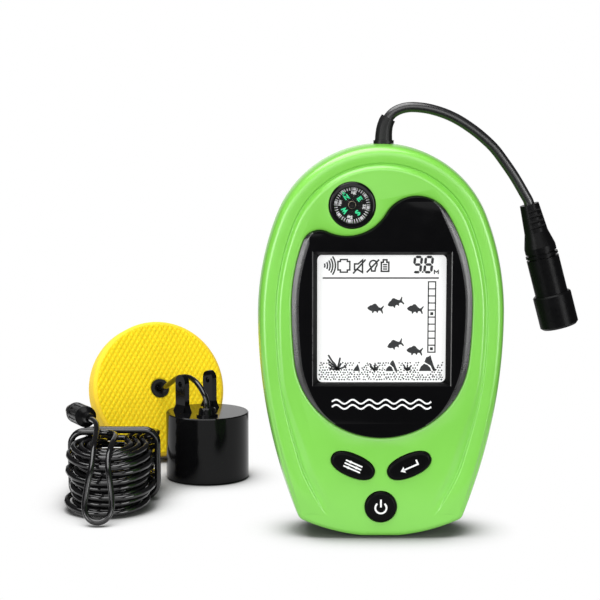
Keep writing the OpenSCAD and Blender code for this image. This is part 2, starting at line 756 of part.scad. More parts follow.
// Round tube along a path, its rings turned as little as possible
// d is one diameter, or one for each point
function frames(t, done) = len(done) == len(t) ? done :
    let (k = len(done), v = done[k - 1] - (done[k - 1] * t[k]) * t[k]) frames(t, concat(done, [unit(v)]));
function steady(t) = let (a = abs(t[2]) < 0.8 ? [0, 0, 1] : [0, 1, 0]) unit(a - (a * t) * t);
module tube(path, d, sides) {
    n = len(path);
    r = [for (i = [0 : n - 1]) (is_list(d) ? d[i] : d) / 2];
    t = [for (i = [0 : n - 1]) unit(path[min(i + 1, n - 1)] - path[max(i - 1, 0)])];
    up = frames(t, [steady(t[0])]);
    points = [for (i = [0 : n - 1], k = [0 : sides - 1]) let (a = 360 * k / sides)
        path[i] + r[i] * (cos(a) * up[i] + sin(a) * cross(t[i], up[i]))];
    walls = [for (i = [0 : n - 2], k = [0 : sides - 1]) let (l = (k + 1) % sides, b = i * sides, c = b + sides)
        each [[b + k, c + k, c + l], [b + k, c + l, b + l]]];
    start = [for (k = [1 : sides - 2]) [0, k, k + 1]];
    end = [for (k = [1 : sides - 2]) let (b = (n - 1) * sides) [b, b + k + 1, b + k]];
    polyhedron(points, concat(start, walls, end));
}

// In-line socket at the end of the display lead
jack_tilt = 15;
jack_from = [54.2, 0, 121.9];
jack_axis = [sin(jack_tilt), 0, -cos(jack_tilt)];
slot_turn = -24;
jack_neck_l = 10.5;
jack_grip_l = 34;
jack_neck_d = 7;
jack_flare_d = 8.7;
module along_jack(from) {
    translate(jack_from + from * jack_axis) rotate([0, 180 - jack_tilt, 0]) children();
}

lead_points = [boot_tip - 2.5 * boot_axis, boot_tip, [4.2, 0, 155.1], [6.6, 0, 156.4], [9.6, 0, 157.1],
    [13, 0, 157.1], [17.4, 0, 156.5], [22.8, 0, 154.9], [27.8, 0, 152.6], [32.8, 0, 149.4], [37, 0, 146.1],
    [41.2, 0, 142.1], [44.9, 0, 137.3], [48.6, 0, 132], [52.2, 0, 126], jack_from - jack_axis,
    jack_from + 2 * jack_axis];
module display_lead() {
    color("black") tube(curve(lead_points, 2), lead_d, 8);
}

module jack_grip() {
    color("black") along_jack(0) difference() {
        rotate_extrude() polygon([[0, 0], [jack_neck_d / 2, 0], [jack_flare_d / 2, jack_neck_l],
            [jack_d / 2 - 0.6, 14.4], [jack_d / 2 - 0.2, 16], [jack_d / 2 - 0.2, 18], [jack_d / 2 - 1, 18],
            [jack_d / 2 - 1, 18.7], [jack_d / 2, 18.7], [jack_d / 2, 19.6], [jack_d / 2 - 1, 19.6],
            [jack_d / 2 - 1, 20.3], [jack_d / 2, 20.3], [jack_d / 2, jack_grip_l], [0, jack_grip_l]]);
        translate([0, 0, -1]) cylinder(d = lead_d + 0.2, h = 4);
        for (i = [0 : 3], a = [0, 180]) rotate([0, 0, a + slot_turn])
            translate([-jack_d / 2, 2.1, 2 + 2 * i]) cube([jack_d, 4, 1]);
    }
}

module jack_collar() {
    color("black") along_jack(jack_grip_l) rotate_extrude() polygon([[jack_bush_d / 2, 0],
        [collar_d / 2 - 0.5, 0], [collar_d / 2, 0.5], [collar_d / 2, collar_l - 0.8],
        [collar_d / 2 - 0.8, collar_l], [jack_bush_d / 2, collar_l]]);
}

jack_bush_d = 8.6;
module jack_insulator() {
    color("dimgray") along_jack(jack_grip_l) difference() {
        cylinder(d = jack_bush_d - 0.1, h = collar_l - 0.2);
        translate([0, 0, collar_l - 0.2 - socket_depth]) cylinder(d = socket_bore, h = socket_depth + 1);
    }
}

module jack_pin() {
    color("silver") along_jack(jack_grip_l + collar_l - 0.2 - socket_depth)
        cylinder(d = jack_pin_d, h = socket_depth - 1);
}

// Sensor, turned about its own axis
sensor_at = [-68.9, 85, 0];
sensor_turn = 45;
lid_gap = 0.05;
module at_sensor(z = 0) {
    translate(sensor_at + [0, 0, z]) rotate([0, 0, sensor_turn]) children();
}

module sensor_cup() {
    inner = sensor_d - 2 * sensor_wall;
    lid_d = sensor_d - sensor_wall;
    color("black") at_sensor() difference() {
        rotate_extrude() polygon([[0, 0], [sensor_d / 2 - 0.6, 0], [sensor_d / 2, 0.6],
            [sensor_d / 2, sensor_h - 0.4], [sensor_d / 2 - 0.4, sensor_h], [0, sensor_h]]);
        translate([0, 0, sensor_floor]) cylinder(d = inner, h = sensor_h);
        translate([0, 0, sensor_h - lid_t]) cylinder(d = lid_d, h = lid_t + 1);
    }
}

gland_at = [-6.4, -7.1, 0];
cable_gap = 0.1;
module sensor_lid() {
    color("black") at_sensor(sensor_h - lid_t) difference() {
        cylinder(d = sensor_d - sensor_wall - 2 * lid_gap, h = lid_t);
        translate(gland_at - [0, 0, 1]) cylinder(d = cable_d + 2 * cable_gap, h = lid_t + 2);
    }
}

// Lugs: a plate with a round top, an eye and a spread foot
eye_drop = 4;
foot_h = 3;
module sensor_lugs() {
    color("black") at_sensor(sensor_h) for (s = [-1, 1])
        translate([s * lug_span / 2, lug_back, 0]) difference() {
        union() {
            translate([-lug_t / 2, -lug_w / 2, 0]) cube([lug_t, lug_w, lug_h - lug_w / 2]);
            translate([-lug_t / 2, 0, lug_h - lug_w / 2]) rotate([0, 90, 0]) cylinder(d = lug_w, h = lug_t);
            translate([-lug_t / 2, 0, 0]) rotate([90, 0, 90]) linear_extrude(lug_t)
                polygon([[-lug_w / 2 - 1.6, 0], [lug_w / 2 + 1.6, 0],
                    [lug_w / 2, foot_h], [-lug_w / 2, foot_h]]);
            translate([0, lug_w / 2, 0]) rotate([90, 0, 0]) linear_extrude(lug_w)
                polygon([[-lug_t / 2 - 1.2, 0], [lug_t / 2 + 1.2, 0],
                    [lug_t / 2, foot_h], [-lug_t / 2, foot_h]]);
        }
        translate([-lug_t / 2 - 1, 0, lug_h - eye_drop]) rotate([0, 90, 0]) cylinder(d = eye_d, h = lug_t + 2);
    }
}

module cable_gland() {
    color("black") at_sensor(sensor_h) translate(gland_at) difference() {
        rotate_extrude() polygon([[0, 0], [gland_d / 2 + 0.8, 0], [gland_d / 2 + 0.8, 0.8], [gland_d / 2, 0.8],
            [gland_d / 2 - 0.3, gland_h - 0.5], [gland_d / 2 - 0.8, gland_h], [0, gland_h]]);
        for (i = [0 : gland_flutes - 1]) rotate([0, 0, 360 * i / gland_flutes])
            translate([gland_d / 2 + 0.2, 0, 1]) cylinder(d = 0.9, h = gland_h);
        translate([0, 0, -1]) cylinder(d = cable_d + 2 * cable_gap, h = gland_h + 2);
    }
}

piezo_d = 25;
piezo_t = 3;
cork_t = 2.5;
module piezo_disc() {
    color("khaki") at_sensor(sensor_floor) cylinder(d = piezo_d, h = piezo_t);
}

module cork_backing() {
    color("peru") at_sensor(sensor_floor + piezo_t) cylinder(d = piezo_d, h = cork_t);
}

pot_z = sensor_floor + piezo_t + cork_t;
module potting() {
    color("dimgray") at_sensor(pot_z) difference() {
        cylinder(d = sensor_d - 2 * sensor_wall - 0.1, h = sensor_h - lid_t - pot_z - 0.05);
        translate([gland_at[0], gland_at[1], 8]) cylinder(d = cable_d + 2 * cable_gap, h = sensor_h);
    }
}

// Float on its bush, standing on its lower edge and leaning back
float_yaw = 22;
float_lean = 16;
float_axis = [sin(float_yaw) * cos(float_lean), -cos(float_yaw) * cos(float_lean), sin(float_lean)];
float_mid = [-93.6, 123, (float_d / 2) * cos(float_lean) + float_t / 2 * sin(float_lean) - 0.2];
module along_float() {
    translate(float_mid) rotate([0, 0, float_yaw]) rotate([90 - float_lean, 0, 0]) children();
}

module float_disc() {
    r = float_d / 2;
    h = float_t / 2;
    function corner(x, y, from) = arc([x, y], float_edge, from, from + 90, 4);
    color("gold") along_float() rotate_extrude($fn = 96) polygon(concat([[bush_d / 2 + bush_gap, -h]],
        corner(r - float_edge, float_edge - h, -90), [[r, float_edge - h]],
        corner(r - float_edge, h - float_edge, 0), [[r - float_edge, h], [bush_d / 2 + bush_gap, h]]));
}

bush_mouth = 1.2;
module float_bush() {
    r = cable_d / 2 + bush_bore_gap;
    h = float_t / 2;
    color("black") along_float() rotate_extrude() polygon([[r, bush_mouth - h], [r + bush_mouth, -h],
        [bush_d / 2, -h], [bush_d / 2, h], [r + bush_mouth, h], [r, h - bush_mouth]]);
}

// Hank: loops spiral in and out again through the layers, each climb along a run; runs shorten upwards
layers = 8;
hank_at = [-104, 46, 0];
hank_low = 4.4;
hank_drop = 3;
hank_fan = 5;
fan_step = 115;
fan_from = 50;
hank_taper = 0.45;
hank_dome = 0.15;
loop_rings = 24;
inner_half = hank_half - hank_step * hank_loops;
function ease(t) = t * t * (3 - 2 * t);
function draw_in(u, run) = hank_waist * (1 + cos(180 * u / run)) / 2;
function fan(layer) = hank_fan * sin(fan_step * layer + fan_from);
function loop_half(layer, s) = let (out = inner_half + hank_step * (hank_loops - 0.25),
        late = hank_step * max(0, s - 0.25))
    layer == 0 ? hank_half - hank_step * s : layer % 2 == 1 ? inner_half + late : out - late;
function racetrack(half, run, turn) = let (q = floor(turn * 4 + 1e-6), f = turn * 4 - q)
    q == 0 ? let (u = run * (2 * f - 1)) [u, half - draw_in(u, run)] :
    q == 1 ? [run + half * sin(180 * f), half * cos(180 * f)] :
    q == 2 ? let (u = run * (1 - 2 * f)) [u, draw_in(u, run) - half] :
    [-run - half * sin(180 * f), -half * cos(180 * f)];
function out_share(u) = pow(min(1, abs(u) / (hank_run + hank_half)), 2);
function hank_point(i) =
    let (t = i / loop_rings, layer = min(layers - 1, floor(t / hank_loops + 1e-6)), s = t - layer * hank_loops,
        climb = layer == 0 ? 0 : ease(min(1, s * 4)) - 1, level = layer + climb,
        p = racetrack(loop_half(layer, s), hank_run - hank_taper * level, t - floor(t + 1e-6)),
        a = fan(layer) + climb * (fan(layer) - fan(layer - 1)),
        u = p[0] * cos(a) - p[1] * sin(a), v = p[0] * sin(a) + p[1] * cos(a), far = out_share(u))
    hank_at + [-v, -u, hank_low + (hank_layer + hank_dome * (1 - far)) * level - hank_drop * far];
hank_path = [for (i = [0 : layers * hank_loops * loop_rings]) hank_point(i)];
hank_end = hank_path[len(hank_path) - 1];
hank_gap = min([for (i = [0 : len(hank_path) - 1], j = [i + 8 : 1 : len(hank_path) - 1])
    norm(hank_path[i] - hank_path[j])]) - cable_d;
echo(hank_least_gap = hank_gap);  // cable_hank
module cable_hank() {
    color("black") tube(hank_path, cable_d, 6);
}

// Cable from the gland through the float to the hank
gland_top = sensor_at + [gland_at[0] * cos(sensor_turn) - gland_at[1] * sin(sensor_turn),
    gland_at[0] * sin(sensor_turn) + gland_at[1] * cos(sensor_turn), sensor_h + gland_h];
float_front = float_mid + float_t / 2 * float_axis;
float_back = float_mid - float_t / 2 * float_axis;
cable_points = [gland_top - [0, 0, 9], gland_top - [0, 0, 4.5], gland_top - [0, 0, 2], gland_top,
    [-68.6, 75.6, 33.7], [-69.3, 76.3, 35.9], [-70.5, 77.8, 38], [-72.1, 80.2, 39.9], [-74.2, 83.8, 41.4],
    [-77.6, 89.4, 42], [-82.2, 97.6, 40.1], float_front + 10 * float_axis, float_front, float_back,
    float_back - 8 * float_axis, [-104, 146, 22], [-111, 149, 15], [-117, 144, 8.5], [-119.6, 134, 4],
    [-120.4, 122, 1.8], [-120.6, 108, 1.4], [-120.8, 94, 1.4], [-120.9, 80, 2],
    hank_path[0] - 5 * unit(hank_path[1] - hank_path[0]), hank_path[0]];
module sensor_cable() {
    color("black") tube(curve(cable_points, 3), cable_d, 8);
}

// End of the cable: two turns round the waist, a bight to the front, then the plug
wrap_half = 17.2;
wrap_top = hank_low + (hank_layer + hank_dome) * (layers - 1) + 2.85;
wrap_low = 1.2;
wrap_r = 5.2;
wrap_step = 3;
wrap_from = 2.6;
wrap_turns = 2;
function wrap_point(turn, q, g) =
    let (mid = (wrap_top + wrap_low) / 2, h = (wrap_top - wrap_low) / 2 - wrap_r, w = wrap_half - wrap_r,
        c = [[w, h], [w, -h], [-w, -h], [-w, h]][q], a = 90 - 90 * (q + g))
    hank_at + [c[0] + wrap_r * cos(a), wrap_from - wrap_step * (turn + (q + g) / 4),
        mid + c[1] + wrap_r * sin(a)];
wraps = [for (turn = [0 : wrap_turns - 1], q = [0 : 3], g = [0 : 3]) wrap_point(turn, q, g / 3)];
tail_start = [hank_end, [-119.6, 55.4, 24.8], [-119, 52.8, 25.6], [-117.4, 50.6, 26.7], [-115, 49.1, 27.6],
    [-112, 48.7, 27.9]];
bight = [[-108.5, 42.4, 27.9], [-105.4, 41.4, 27.9], [-103.2, 39, 27.9], [-102.3, 35.6, 27.9],
    [-102.3, 31, 27.6], [-102.5, 26, 27.1], [-102.8, 21.4, 26], [-103, 16.6, 23.8], [-102.8, 13, 20.6],
    [-102, 10.6, 16.4], [-101.2, 8.6, 11.4], [-100.8, 6.6, 7.2], [-101.5, 5, 4.2], [-103.4, 3.9, 2.2],
    [-106, 3.4, 1.5], [-108.6, 3.9, 2.2], [-110.5, 5, 4.2], [-111.2, 6.6, 7.2], [-110.8, 8.6, 11.4],
    [-110, 10.6, 16.4], [-109.2, 13, 20.6], [-109, 16.6, 24], [-109.2, 21.4, 26.6], [-109.4, 27, 28.2],
    [-109.6, 33, 29.6], [-110, 38, 30.8], [-110.8, 43, 31.5], [-112.4, 48, 31.6],
    [-113.8, 51.6, 31.3]];
plug_from = [-114.8, 55, 30.9];
plug_axis = unit([-0.32, 0.94, -0.1]);
tail_path = concat(curve(tail_start, 2), wraps,
    curve(concat(bight, [plug_from - plug_axis, plug_from + 2 * plug_axis]), 2));
module cable_tail() {
    color("black") tube(tail_path, cable_d, 6);
}

module along_plug(from) {
    yaw = atan2(plug_axis[1], plug_axis[0]);
    translate(plug_from + from * plug_axis) rotate([0, 0, yaw]) rotate([0, acos(plug_axis[2]), 0]) children();
}

plug_neck_l = 8;
plug_neck_d = 4.6;
plug_ribs = 14;
module plug_grip() {
    r = plug_d / 2;
    l = plug_neck_l + plug_l;
    color("black") along_plug(0) difference() {
        rotate_extrude() polygon([[0, 0], [plug_neck_d / 2 - 0.4, 0], [plug_neck_d / 2, plug_neck_l - 1.5],
            [r - 0.8, plug_neck_l], [r, plug_neck_l + 0.8], [r, l - 4], [r - 0.6, l - 3.6], [r - 0.6, l - 3],
            [r, l - 2.6], [r, l - 0.6], [r - 0.6, l], [0, l]]);
        translate([0, 0, -1]) cylinder(d = cable_d + 0.2, h = 4);
        for (i = [0 : plug_ribs - 1]) rotate([0, 0, 360 * i / plug_ribs])
            translate([r + 0.1, 0, plug_neck_l + 2]) cylinder(d = 0.9, h = plug_l - 8);
    }
}

module plug_barrel() {
    color("silver") along_plug(plug_neck_l + plug_l) difference() {
        cylinder(d = barrel_d, h = barrel_l);
        translate([0, 0, 1]) cylinder(d = barrel_d - 1, h = barrel_l);
    }
}

module plug_insulator() {
    color("black") along_plug(plug_neck_l + plug_l + 1) difference() {
        cylinder(d = barrel_d - 1.1, h = barrel_l - 1);
        translate([0, 0, 1]) cylinder(d = jack_pin_d + 0.2, h = barrel_l);
    }
}

front_shell();
rear_shell();
case_seal();
bezel();
window();
lcd_cell();
light_guide();
main_board();
buzzer();
key_switches();
battery_cells();
battery_plates();
battery_springs();
case_screws();
lead_boot();
compass_cup();
compass_pivot();
compass_lens();
compass_card();
left_key();
right_key();
power_key();
battery_cover();
cover_screw();
display_lead();
jack_grip();
jack_collar();
jack_insulator();
jack_pin();
sensor_cup();
sensor_lid();
sensor_lugs();
cable_gland();
piezo_disc();
cork_backing();
potting();
sensor_cable();
cable_hank();
cable_tail();
plug_grip();
plug_barrel();
plug_insulator();
float_bush();
float_disc();
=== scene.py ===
import math
import random
from math import cos, pi, radians, sin

import bmesh
import bpy
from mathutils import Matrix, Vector
from mathutils.geometry import tessellate_polygon


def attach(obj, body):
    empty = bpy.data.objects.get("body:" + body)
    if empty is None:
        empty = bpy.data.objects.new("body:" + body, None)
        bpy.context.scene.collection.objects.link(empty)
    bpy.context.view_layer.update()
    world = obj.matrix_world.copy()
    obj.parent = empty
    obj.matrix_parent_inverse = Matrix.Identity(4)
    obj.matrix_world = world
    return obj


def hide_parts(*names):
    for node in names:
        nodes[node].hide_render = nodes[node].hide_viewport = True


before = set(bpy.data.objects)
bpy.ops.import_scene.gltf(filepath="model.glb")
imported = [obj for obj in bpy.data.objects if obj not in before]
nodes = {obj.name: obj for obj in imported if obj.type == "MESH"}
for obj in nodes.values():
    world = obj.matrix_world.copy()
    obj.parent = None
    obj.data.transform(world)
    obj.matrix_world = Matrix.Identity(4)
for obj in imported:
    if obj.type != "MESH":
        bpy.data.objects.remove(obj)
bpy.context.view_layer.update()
MM = 0.001


def linked(name, data):
    obj = bpy.data.objects.new(name, data)
    bpy.context.scene.collection.objects.link(obj)
    return obj


def aim(obj, place, target):
    obj.location = place
    obj.rotation_euler = (Vector(target) - obj.location).to_track_quat("-Z", "Y").to_euler()


# Camera: a long lens a little above the display, looking slightly down

SENSOR_W, LENS = 36, 99.2
CAMERA_AT = (-0.0296, -0.604, 0.165)
CAMERA_AIM = (-0.0296, -0.004, 0.0871)


def make_camera():
    data = bpy.data.cameras.new("camera")
    data.sensor_fit = "HORIZONTAL"
    data.sensor_width = SENSOR_W
    data.lens = LENS
    obj = linked("camera", data)
    aim(obj, CAMERA_AT, CAMERA_AIM)
    bpy.context.scene.camera = obj


# Materials

DRIFT_FROM, DRIFT_TO = 0.3, 0.7


def wired(tree, kind, sources=(), settings=()):
    """First output of a new node; its first inputs are linked to the sources, others are set."""
    node = tree.nodes.new("ShaderNode" + kind)
    for socket, source in zip(node.inputs, sources):
        tree.links.new(source, socket)
    for key, value in settings:
        node.inputs[key].default_value = value
    return node.outputs[0]


def noise(tree, coords, size, detail, rough=0.5):
    """Noise with features of about that size in millimetres."""
    settings = (("Scale", 1 / (size * MM)), ("Detail", detail), ("Roughness", rough))
    return wired(tree, "TexNoise", [coords], settings)


def spread(tree, value, low, high, start=DRIFT_FROM, end=DRIFT_TO):
    """Maps a value from start to end onto low to high."""
    settings = (("From Min", start), ("From Max", end), ("To Min", low), ("To Max", high))
    return wired(tree, "MapRange", [value], settings)


def surface(name, colour, rough, grain, depth, drift, vary, patch, specular=0.5, sockets=()):
    """A colour that drifts over patches, an uneven roughness and a fine grain."""
    mat = bpy.data.materials.new(name)
    mat.use_nodes = True
    tree = mat.node_tree
    bsdf = tree.nodes["Principled BSDF"]
    coords = tree.nodes.new("ShaderNodeTexCoord").outputs["Object"]
    slow = noise(tree, coords, patch, 4)
    fine = noise(tree, coords, grain, 3)
    tint = wired(tree, "ValToRGB", [slow])
    for element, at, way in zip(tint.node.color_ramp.elements, (DRIFT_FROM, DRIFT_TO), (-1, 1)):
        element.position = at
        element.color = (*(min(1, c * (1 + way * drift)) for c in colour), 1)
    tree.links.new(tint, bsdf.inputs["Base Color"])
    uneven = noise(tree, coords, patch / 4, 5, 0.65)
    tree.links.new(spread(tree, uneven, max(0.01, rough - vary), rough + vary), bsdf.inputs["Roughness"])
    bump = tree.nodes.new("ShaderNodeBump")
    bump.inputs["Distance"].default_value = depth * MM
    tree.links.new(fine, bump.inputs["Height"])
    tree.links.new(bump.outputs["Normal"], bsdf.inputs["Normal"])
    for key, value in (("Specular IOR Level", specular), *sockets):
        bsdf.inputs[key].default_value = value
    return mat


# Each finish: material name, colour, roughness, size and depth of the grain in mm, drift of the colour,
# drift of the roughness, size of the patches in mm, specular level, and other settings
FINISH_ROWS = {
    "green": ("green_moulding", (0.192, 0.588, 0.063), 0.34, 0.2, 0.003, 0.03, 0.04, 30,
              0.5, (("Coat Weight", 0.8), ("Coat Roughness", 0.27), ("Coat IOR", 1.6))),
    "gloss": ("black_gloss_face", (0.003, 0.003, 0.0034), 0.12, 0.5, 0.0015, 0.1, 0.05, 25, 0.08),
    # Slope and recess are lighter and darker copies of the bezel's black: partly real grain, partly painted
    # sheen and painted shade by side
    "slope": ("black_grained_slope", (0.012, 0.012, 0.0125), 0.3, 0.4, 0.06, 0.15, 0.05, 12,
              0.9, [("IOR", 1.55)]),
    "ring": ("black_ring_gloss", (0.004, 0.004, 0.0043), 0.14, 0.4, 0.001, 0.1, 0.05, 8, 0.25),
    "recess": ("black_recess", (0.0035, 0.0035, 0.0038), 0.45, 0.25, 0.02, 0.15, 0.05, 10, 0.07),
    "key": ("key_black", (0.0035, 0.0035, 0.0039), 0.24, 0.2, 0.003, 0.1, 0.05, 8, 0.05),
    "print": ("white_print", (0.86, 0.87, 0.87), 0.5, 0.15, 0.004, 0.02, 0.05, 6),
    # The screen glows by emission: it stands in for its backlight and also lifts the shade the bezel casts on
    # it
    "lcd": ("lcd_pale", (0.55, 0.56, 0.55), 0.4, 0.3, 0.0005, 0.012, 0.04, 14,
            0.2, (("Emission Color", (1, 1, 1, 1)), ("Emission Strength", 0.5))),
    "ink": ("lcd_ink", (0.034, 0.035, 0.037), 0.5, 0.3, 0.0005, 0.1, 0.05, 9, 0.2),
    "mask": ("lcd_mask", (0.006, 0.006, 0.006), 0.5, 0.2, 0.002, 0.1, 0.05, 9, 0.1),
    "clear": ("clear_window", (0.05, 0.055, 0.055), 0.04, 0.8, 0.0004, 0.01, 0.02, 20,
              0.5, [("Alpha", 0.05)]),
    "lens": ("clear_lens", (0.04, 0.045, 0.045), 0.04, 0.8, 0.0004, 0.01, 0.02, 6, 0.5, [("Alpha", 0.04)]),
    "cord": ("black_cord", (0.004, 0.004, 0.0044), 0.13, 0.4, 0.003, 0.2, 0.04, 9, 0.6),
    "lead": ("black_lead", (0.008, 0.008, 0.0085), 0.3, 0.4, 0.0015, 0.2, 0.05, 9, 0.9),
    "rubber": ("black_boot", (0.009, 0.009, 0.0095), 0.4, 0.25, 0.008, 0.15, 0.06, 7, 0.25),
    "grip": ("black_textured", (0.0035, 0.0035, 0.0038), 0.3, 0.3, 0.02, 0.15, 0.06, 8, 0.08),
    "sensor": ("black_sensor_gloss", (0.004, 0.004, 0.0045), 0.1, 0.6, 0.001, 0.15, 0.04, 15, 0.17),
    "matte": ("black_matte", (0.012, 0.012, 0.012), 0.5, 0.25, 0.008, 0.15, 0.06, 8, 0.3),
    "foam": ("yellow_foam", (0.99, 0.745, 0.016), 0.8, 0.4, 0.03, 0.03, 0.05, 9,
             0.2, [("Sheen Weight", 0.08)]),
    "foam_rim": ("yellow_foam_rim", (0.985, 0.66, 0.03), 0.72, 0.35, 0.03, 0.04, 0.05, 7,
                 0.25, [("Sheen Weight", 0.08)]),
    # The groove finish is a darker orange yellow: painted shade in the grooves between the diamonds
    "foam_groove": ("yellow_foam_groove", (0.98, 0.67, 0.014), 0.85, 0.4, 0.03, 0.05, 0.05, 9, 0.1),
    "card_green": ("card_green", (0.03, 0.80, 0.34), 0.5, 0.15, 0.003, 0.03, 0.05, 5),
    "white_part": ("white_part", (0.78, 0.78, 0.76), 0.4, 0.3, 0.004, 0.02, 0.05, 15),
    "board": ("board_green", (0.016, 0.15, 0.05), 0.38, 0.5, 0.012, 0.2, 0.08, 3, 0.5),
    "sleeve": ("cell_sleeve", (0.10, 0.12, 0.15), 0.3, 0.3, 0.003, 0.08, 0.05, 10),
    "steel": ("steel", (0.56, 0.56, 0.58), 0.3, 0.12, 0.003, 0.06, 0.08, 3, 0.5, [("Metallic", 1)]),
    "nickel": ("nickel", (0.66, 0.63, 0.58), 0.22, 0.12, 0.002, 0.05, 0.06, 3, 0.5, [("Metallic", 1)]),
    "brass": ("brass", (0.42, 0.36, 0.26), 0.34, 0.1, 0.003, 0.1, 0.08, 2, 0.5, [("Metallic", 1)]),
    "ceramic": ("ceramic", (0.72, 0.70, 0.64), 0.5, 0.2, 0.006, 0.05, 0.05, 6),
    "cork": ("cork", (0.36, 0.22, 0.11), 0.85, 0.9, 0.08, 0.3, 0.05, 2),
    "resin": ("resin", (0.03, 0.028, 0.025), 0.3, 0.6, 0.004, 0.2, 0.06, 6),
}
FINISHES = {key: surface(*row) for key, row in FINISH_ROWS.items()}

NODE_FINISH = {
    "green": "front_shell rear_shell battery_cover", "rubber": "case_seal lead_boot",
    "gloss": "bezel compass_cup", "clear": "window", "mask": "lcd_cell compass_card",
    "white_part": "light_guide", "board": "main_board", "steel": "key_switches case_screws cover_screw",
    "sleeve": "battery_cells", "nickel": "battery_plates battery_springs jack_pin plug_barrel",
    "brass": "compass_pivot", "lens": "compass_lens", "key": "left_key right_key power_key",
    "lead": "display_lead", "grip": "jack_grip jack_collar plug_grip",
    "matte": "buzzer jack_insulator plug_insulator float_bush",
    "sensor": "sensor_cup sensor_lid sensor_lugs cable_gland", "ceramic": "piezo_disc",
    "cork": "cork_backing", "resin": "potting", "cord": "sensor_cable cable_hank cable_tail",
    "foam": "float_disc",
}


def dress_nodes():
    for finish, names in NODE_FINISH.items():
        for name in names.split():
            for slot in nodes[name].material_slots:
                slot.material = FINISHES[finish]


# Mesh helpers, in millimetres and degrees

def mesh_object(name, verts, faces, finishes=()):
    mesh = bpy.data.meshes.new(name)
    mesh.from_pydata([Vector(v) * MM for v in verts], [], faces)
    for finish in finishes:
        mesh.materials.append(FINISHES[finish])
    return linked(name, mesh)


def piece(name, solid, finishes, body=None, replaces=(), sharp=32, marks=None):
    """A piece of (verts, faces) on a body; marks hold the number of each face's finish."""
    obj = mesh_object(name, *solid, finishes)
    if marks:
        obj.data.polygons.foreach_set("material_index", marks)
    shade(obj, sharp)
    if body:
        settle(obj, body, replaces)
    return obj


def settle(obj, body, replaces=()):
    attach(obj, body)
    if replaces:
        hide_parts(*replaces)


def shade(obj, sharp):
    """Smooth shading, with edges kept where faces meet at more than that angle."""
    work = bmesh.new()
    work.from_mesh(obj.data)
    bmesh.ops.recalc_face_normals(work, faces=work.faces)
    for face in work.faces:
        face.smooth = True
    limit = radians(sharp)
    for edge in work.edges:
        edge.smooth = len(edge.link_faces) == 2 and edge.calc_face_angle() < limit
    work.to_mesh(obj.data)
    work.free()


def on_circle(c, r, turn):
    a = radians(turn)
    return (c[0] + r * cos(a), c[1] + r * sin(a))


def turned(p, turn):
    """A point turned about the origin, counter-clockwise."""
    c, s = cos(radians(turn)), sin(radians(turn))
    return (p[0] * c - p[1] * s, p[0] * s + p[1] * c)


def part_way(p, q, share):
    return (p[0] + (q[0] - p[0]) * share, p[1] + (q[1] - p[1]) * share)


def ease(t):
    """Smooth step from 0 to 1, level before and after."""
    t = min(1, max(0, t))
    return t * t * (3 - 2 * t)


def loft(rings, caps=(True, True)):
    """A skin over rings with equal numbers of points."""
    n = len(rings[0])
    verts = [p for r in rings for p in r]
    faces = [(i * n + j, i * n + (j + 1) % n, (i + 1) * n + (j + 1) % n, (i + 1) * n + j)
             for i in range(len(rings) - 1) for j in range(n)]
    if caps[0]:
        faces.append(tuple(range(n - 1, -1, -1)))
    if caps[1]:
        faces.append(tuple(range((len(rings) - 1) * n, len(rings) * n)))
    return verts, faces


def between(a, b, c, d, t):
    """The point at share t from b to c, on a smooth curve that also heeds a and d."""
    return tuple(0.5 * (2 * q + (r - p) * t + (2 * p - 5 * q + 4 * r - s) * t * t
                        + (3 * q - p - 3 * r + s) * t ** 3) for p, q, r, s in zip(a, b, c, d))


def smooth_path(points, n):
    """A smooth curve through the points, with n steps from each to the next."""
    last = len(points) - 1
    out = [between(points[max(i - 1, 0)], points[i], points[i + 1], points[min(i + 2, last)], j / n)
           for i in range(last) for j in range(n)]
    return out + [tuple(points[last])]


def refine(rings, n):
    """More rings between the given ones, on a smooth curve through each row of points."""
    rows = [smooth_path([points[j] for points in rings], n) for j in range(len(rings[0]))]
    return [[row[i] for row in rows] for i in range(len(rows[0]))]


def carve(obj, parts, kind="DIFFERENCE"):
    """Cuts the parts out of a piece, or joins them on."""
    cutter = piece("cutter", joined(parts), ["mask"])
    cut = obj.modifiers.new("cut", "BOOLEAN")
    cut.operation = kind
    cut.solver = "EXACT"
    cut.object = cutter
    shaped = obj.evaluated_get(bpy.context.evaluated_depsgraph_get())
    old, spare = obj.data, cutter.data
    fresh = bpy.data.meshes.new_from_object(shaped)
    obj.modifiers.clear()
    obj.data = fresh
    bpy.data.objects.remove(cutter)
    for mesh in (old, spare):
        bpy.data.meshes.remove(mesh)


def joined(parts):
    verts, faces = [], []
    for v, f in parts:
        base = len(verts)
        verts += v
        faces += [tuple(base + i for i in face) for face in f]
    return verts, faces


def lathe(profile, place, n, closed=False):
    """Rings of (radius, height) points turned about an axis; place gives a point its seat."""
    rings = [[place((*on_circle((0, 0), r, 360 * k / n), h)) for k in range(n)] for r, h in profile]
    if closed:
        rings.append(rings[0])
        verts, faces = loft(rings, (False, False))
        m = (len(rings) - 1) * n
        return verts[:m], [tuple(i % m for i in f) for f in faces]
    return loft(rings)


# Outlines of the display in front view, by the sizes of part.scad

def arc(c, r, start, end, n):
    """Points from the start turn up to the end turn, which is left out."""
    return [on_circle(c, r, start + (end - start) * i / n) for i in range(n)]


def bearing(p, q):
    return math.degrees(math.atan2(q[1] - p[1], q[0] - p[0]))


def side_radius(e, dz, r):
    """Radius of an arc that stands upright at e and runs on into a circle of radius r, dz away."""
    return (e * e + dz * dz - r * r) / (2 * (e - r))


def crossing(p, rp, q, rq):
    """Where two circles cross, on the right of the way from p to q."""
    d = math.dist(p, q)
    a = (rp * rp - rq * rq + d * d) / (2 * d)
    h = math.sqrt(rp * rp - a * a)
    u = ((q[0] - p[0]) / d, (q[1] - p[1]) / d)
    return (p[0] + a * u[0] + h * u[1], p[1] + a * u[1] - h * u[0])


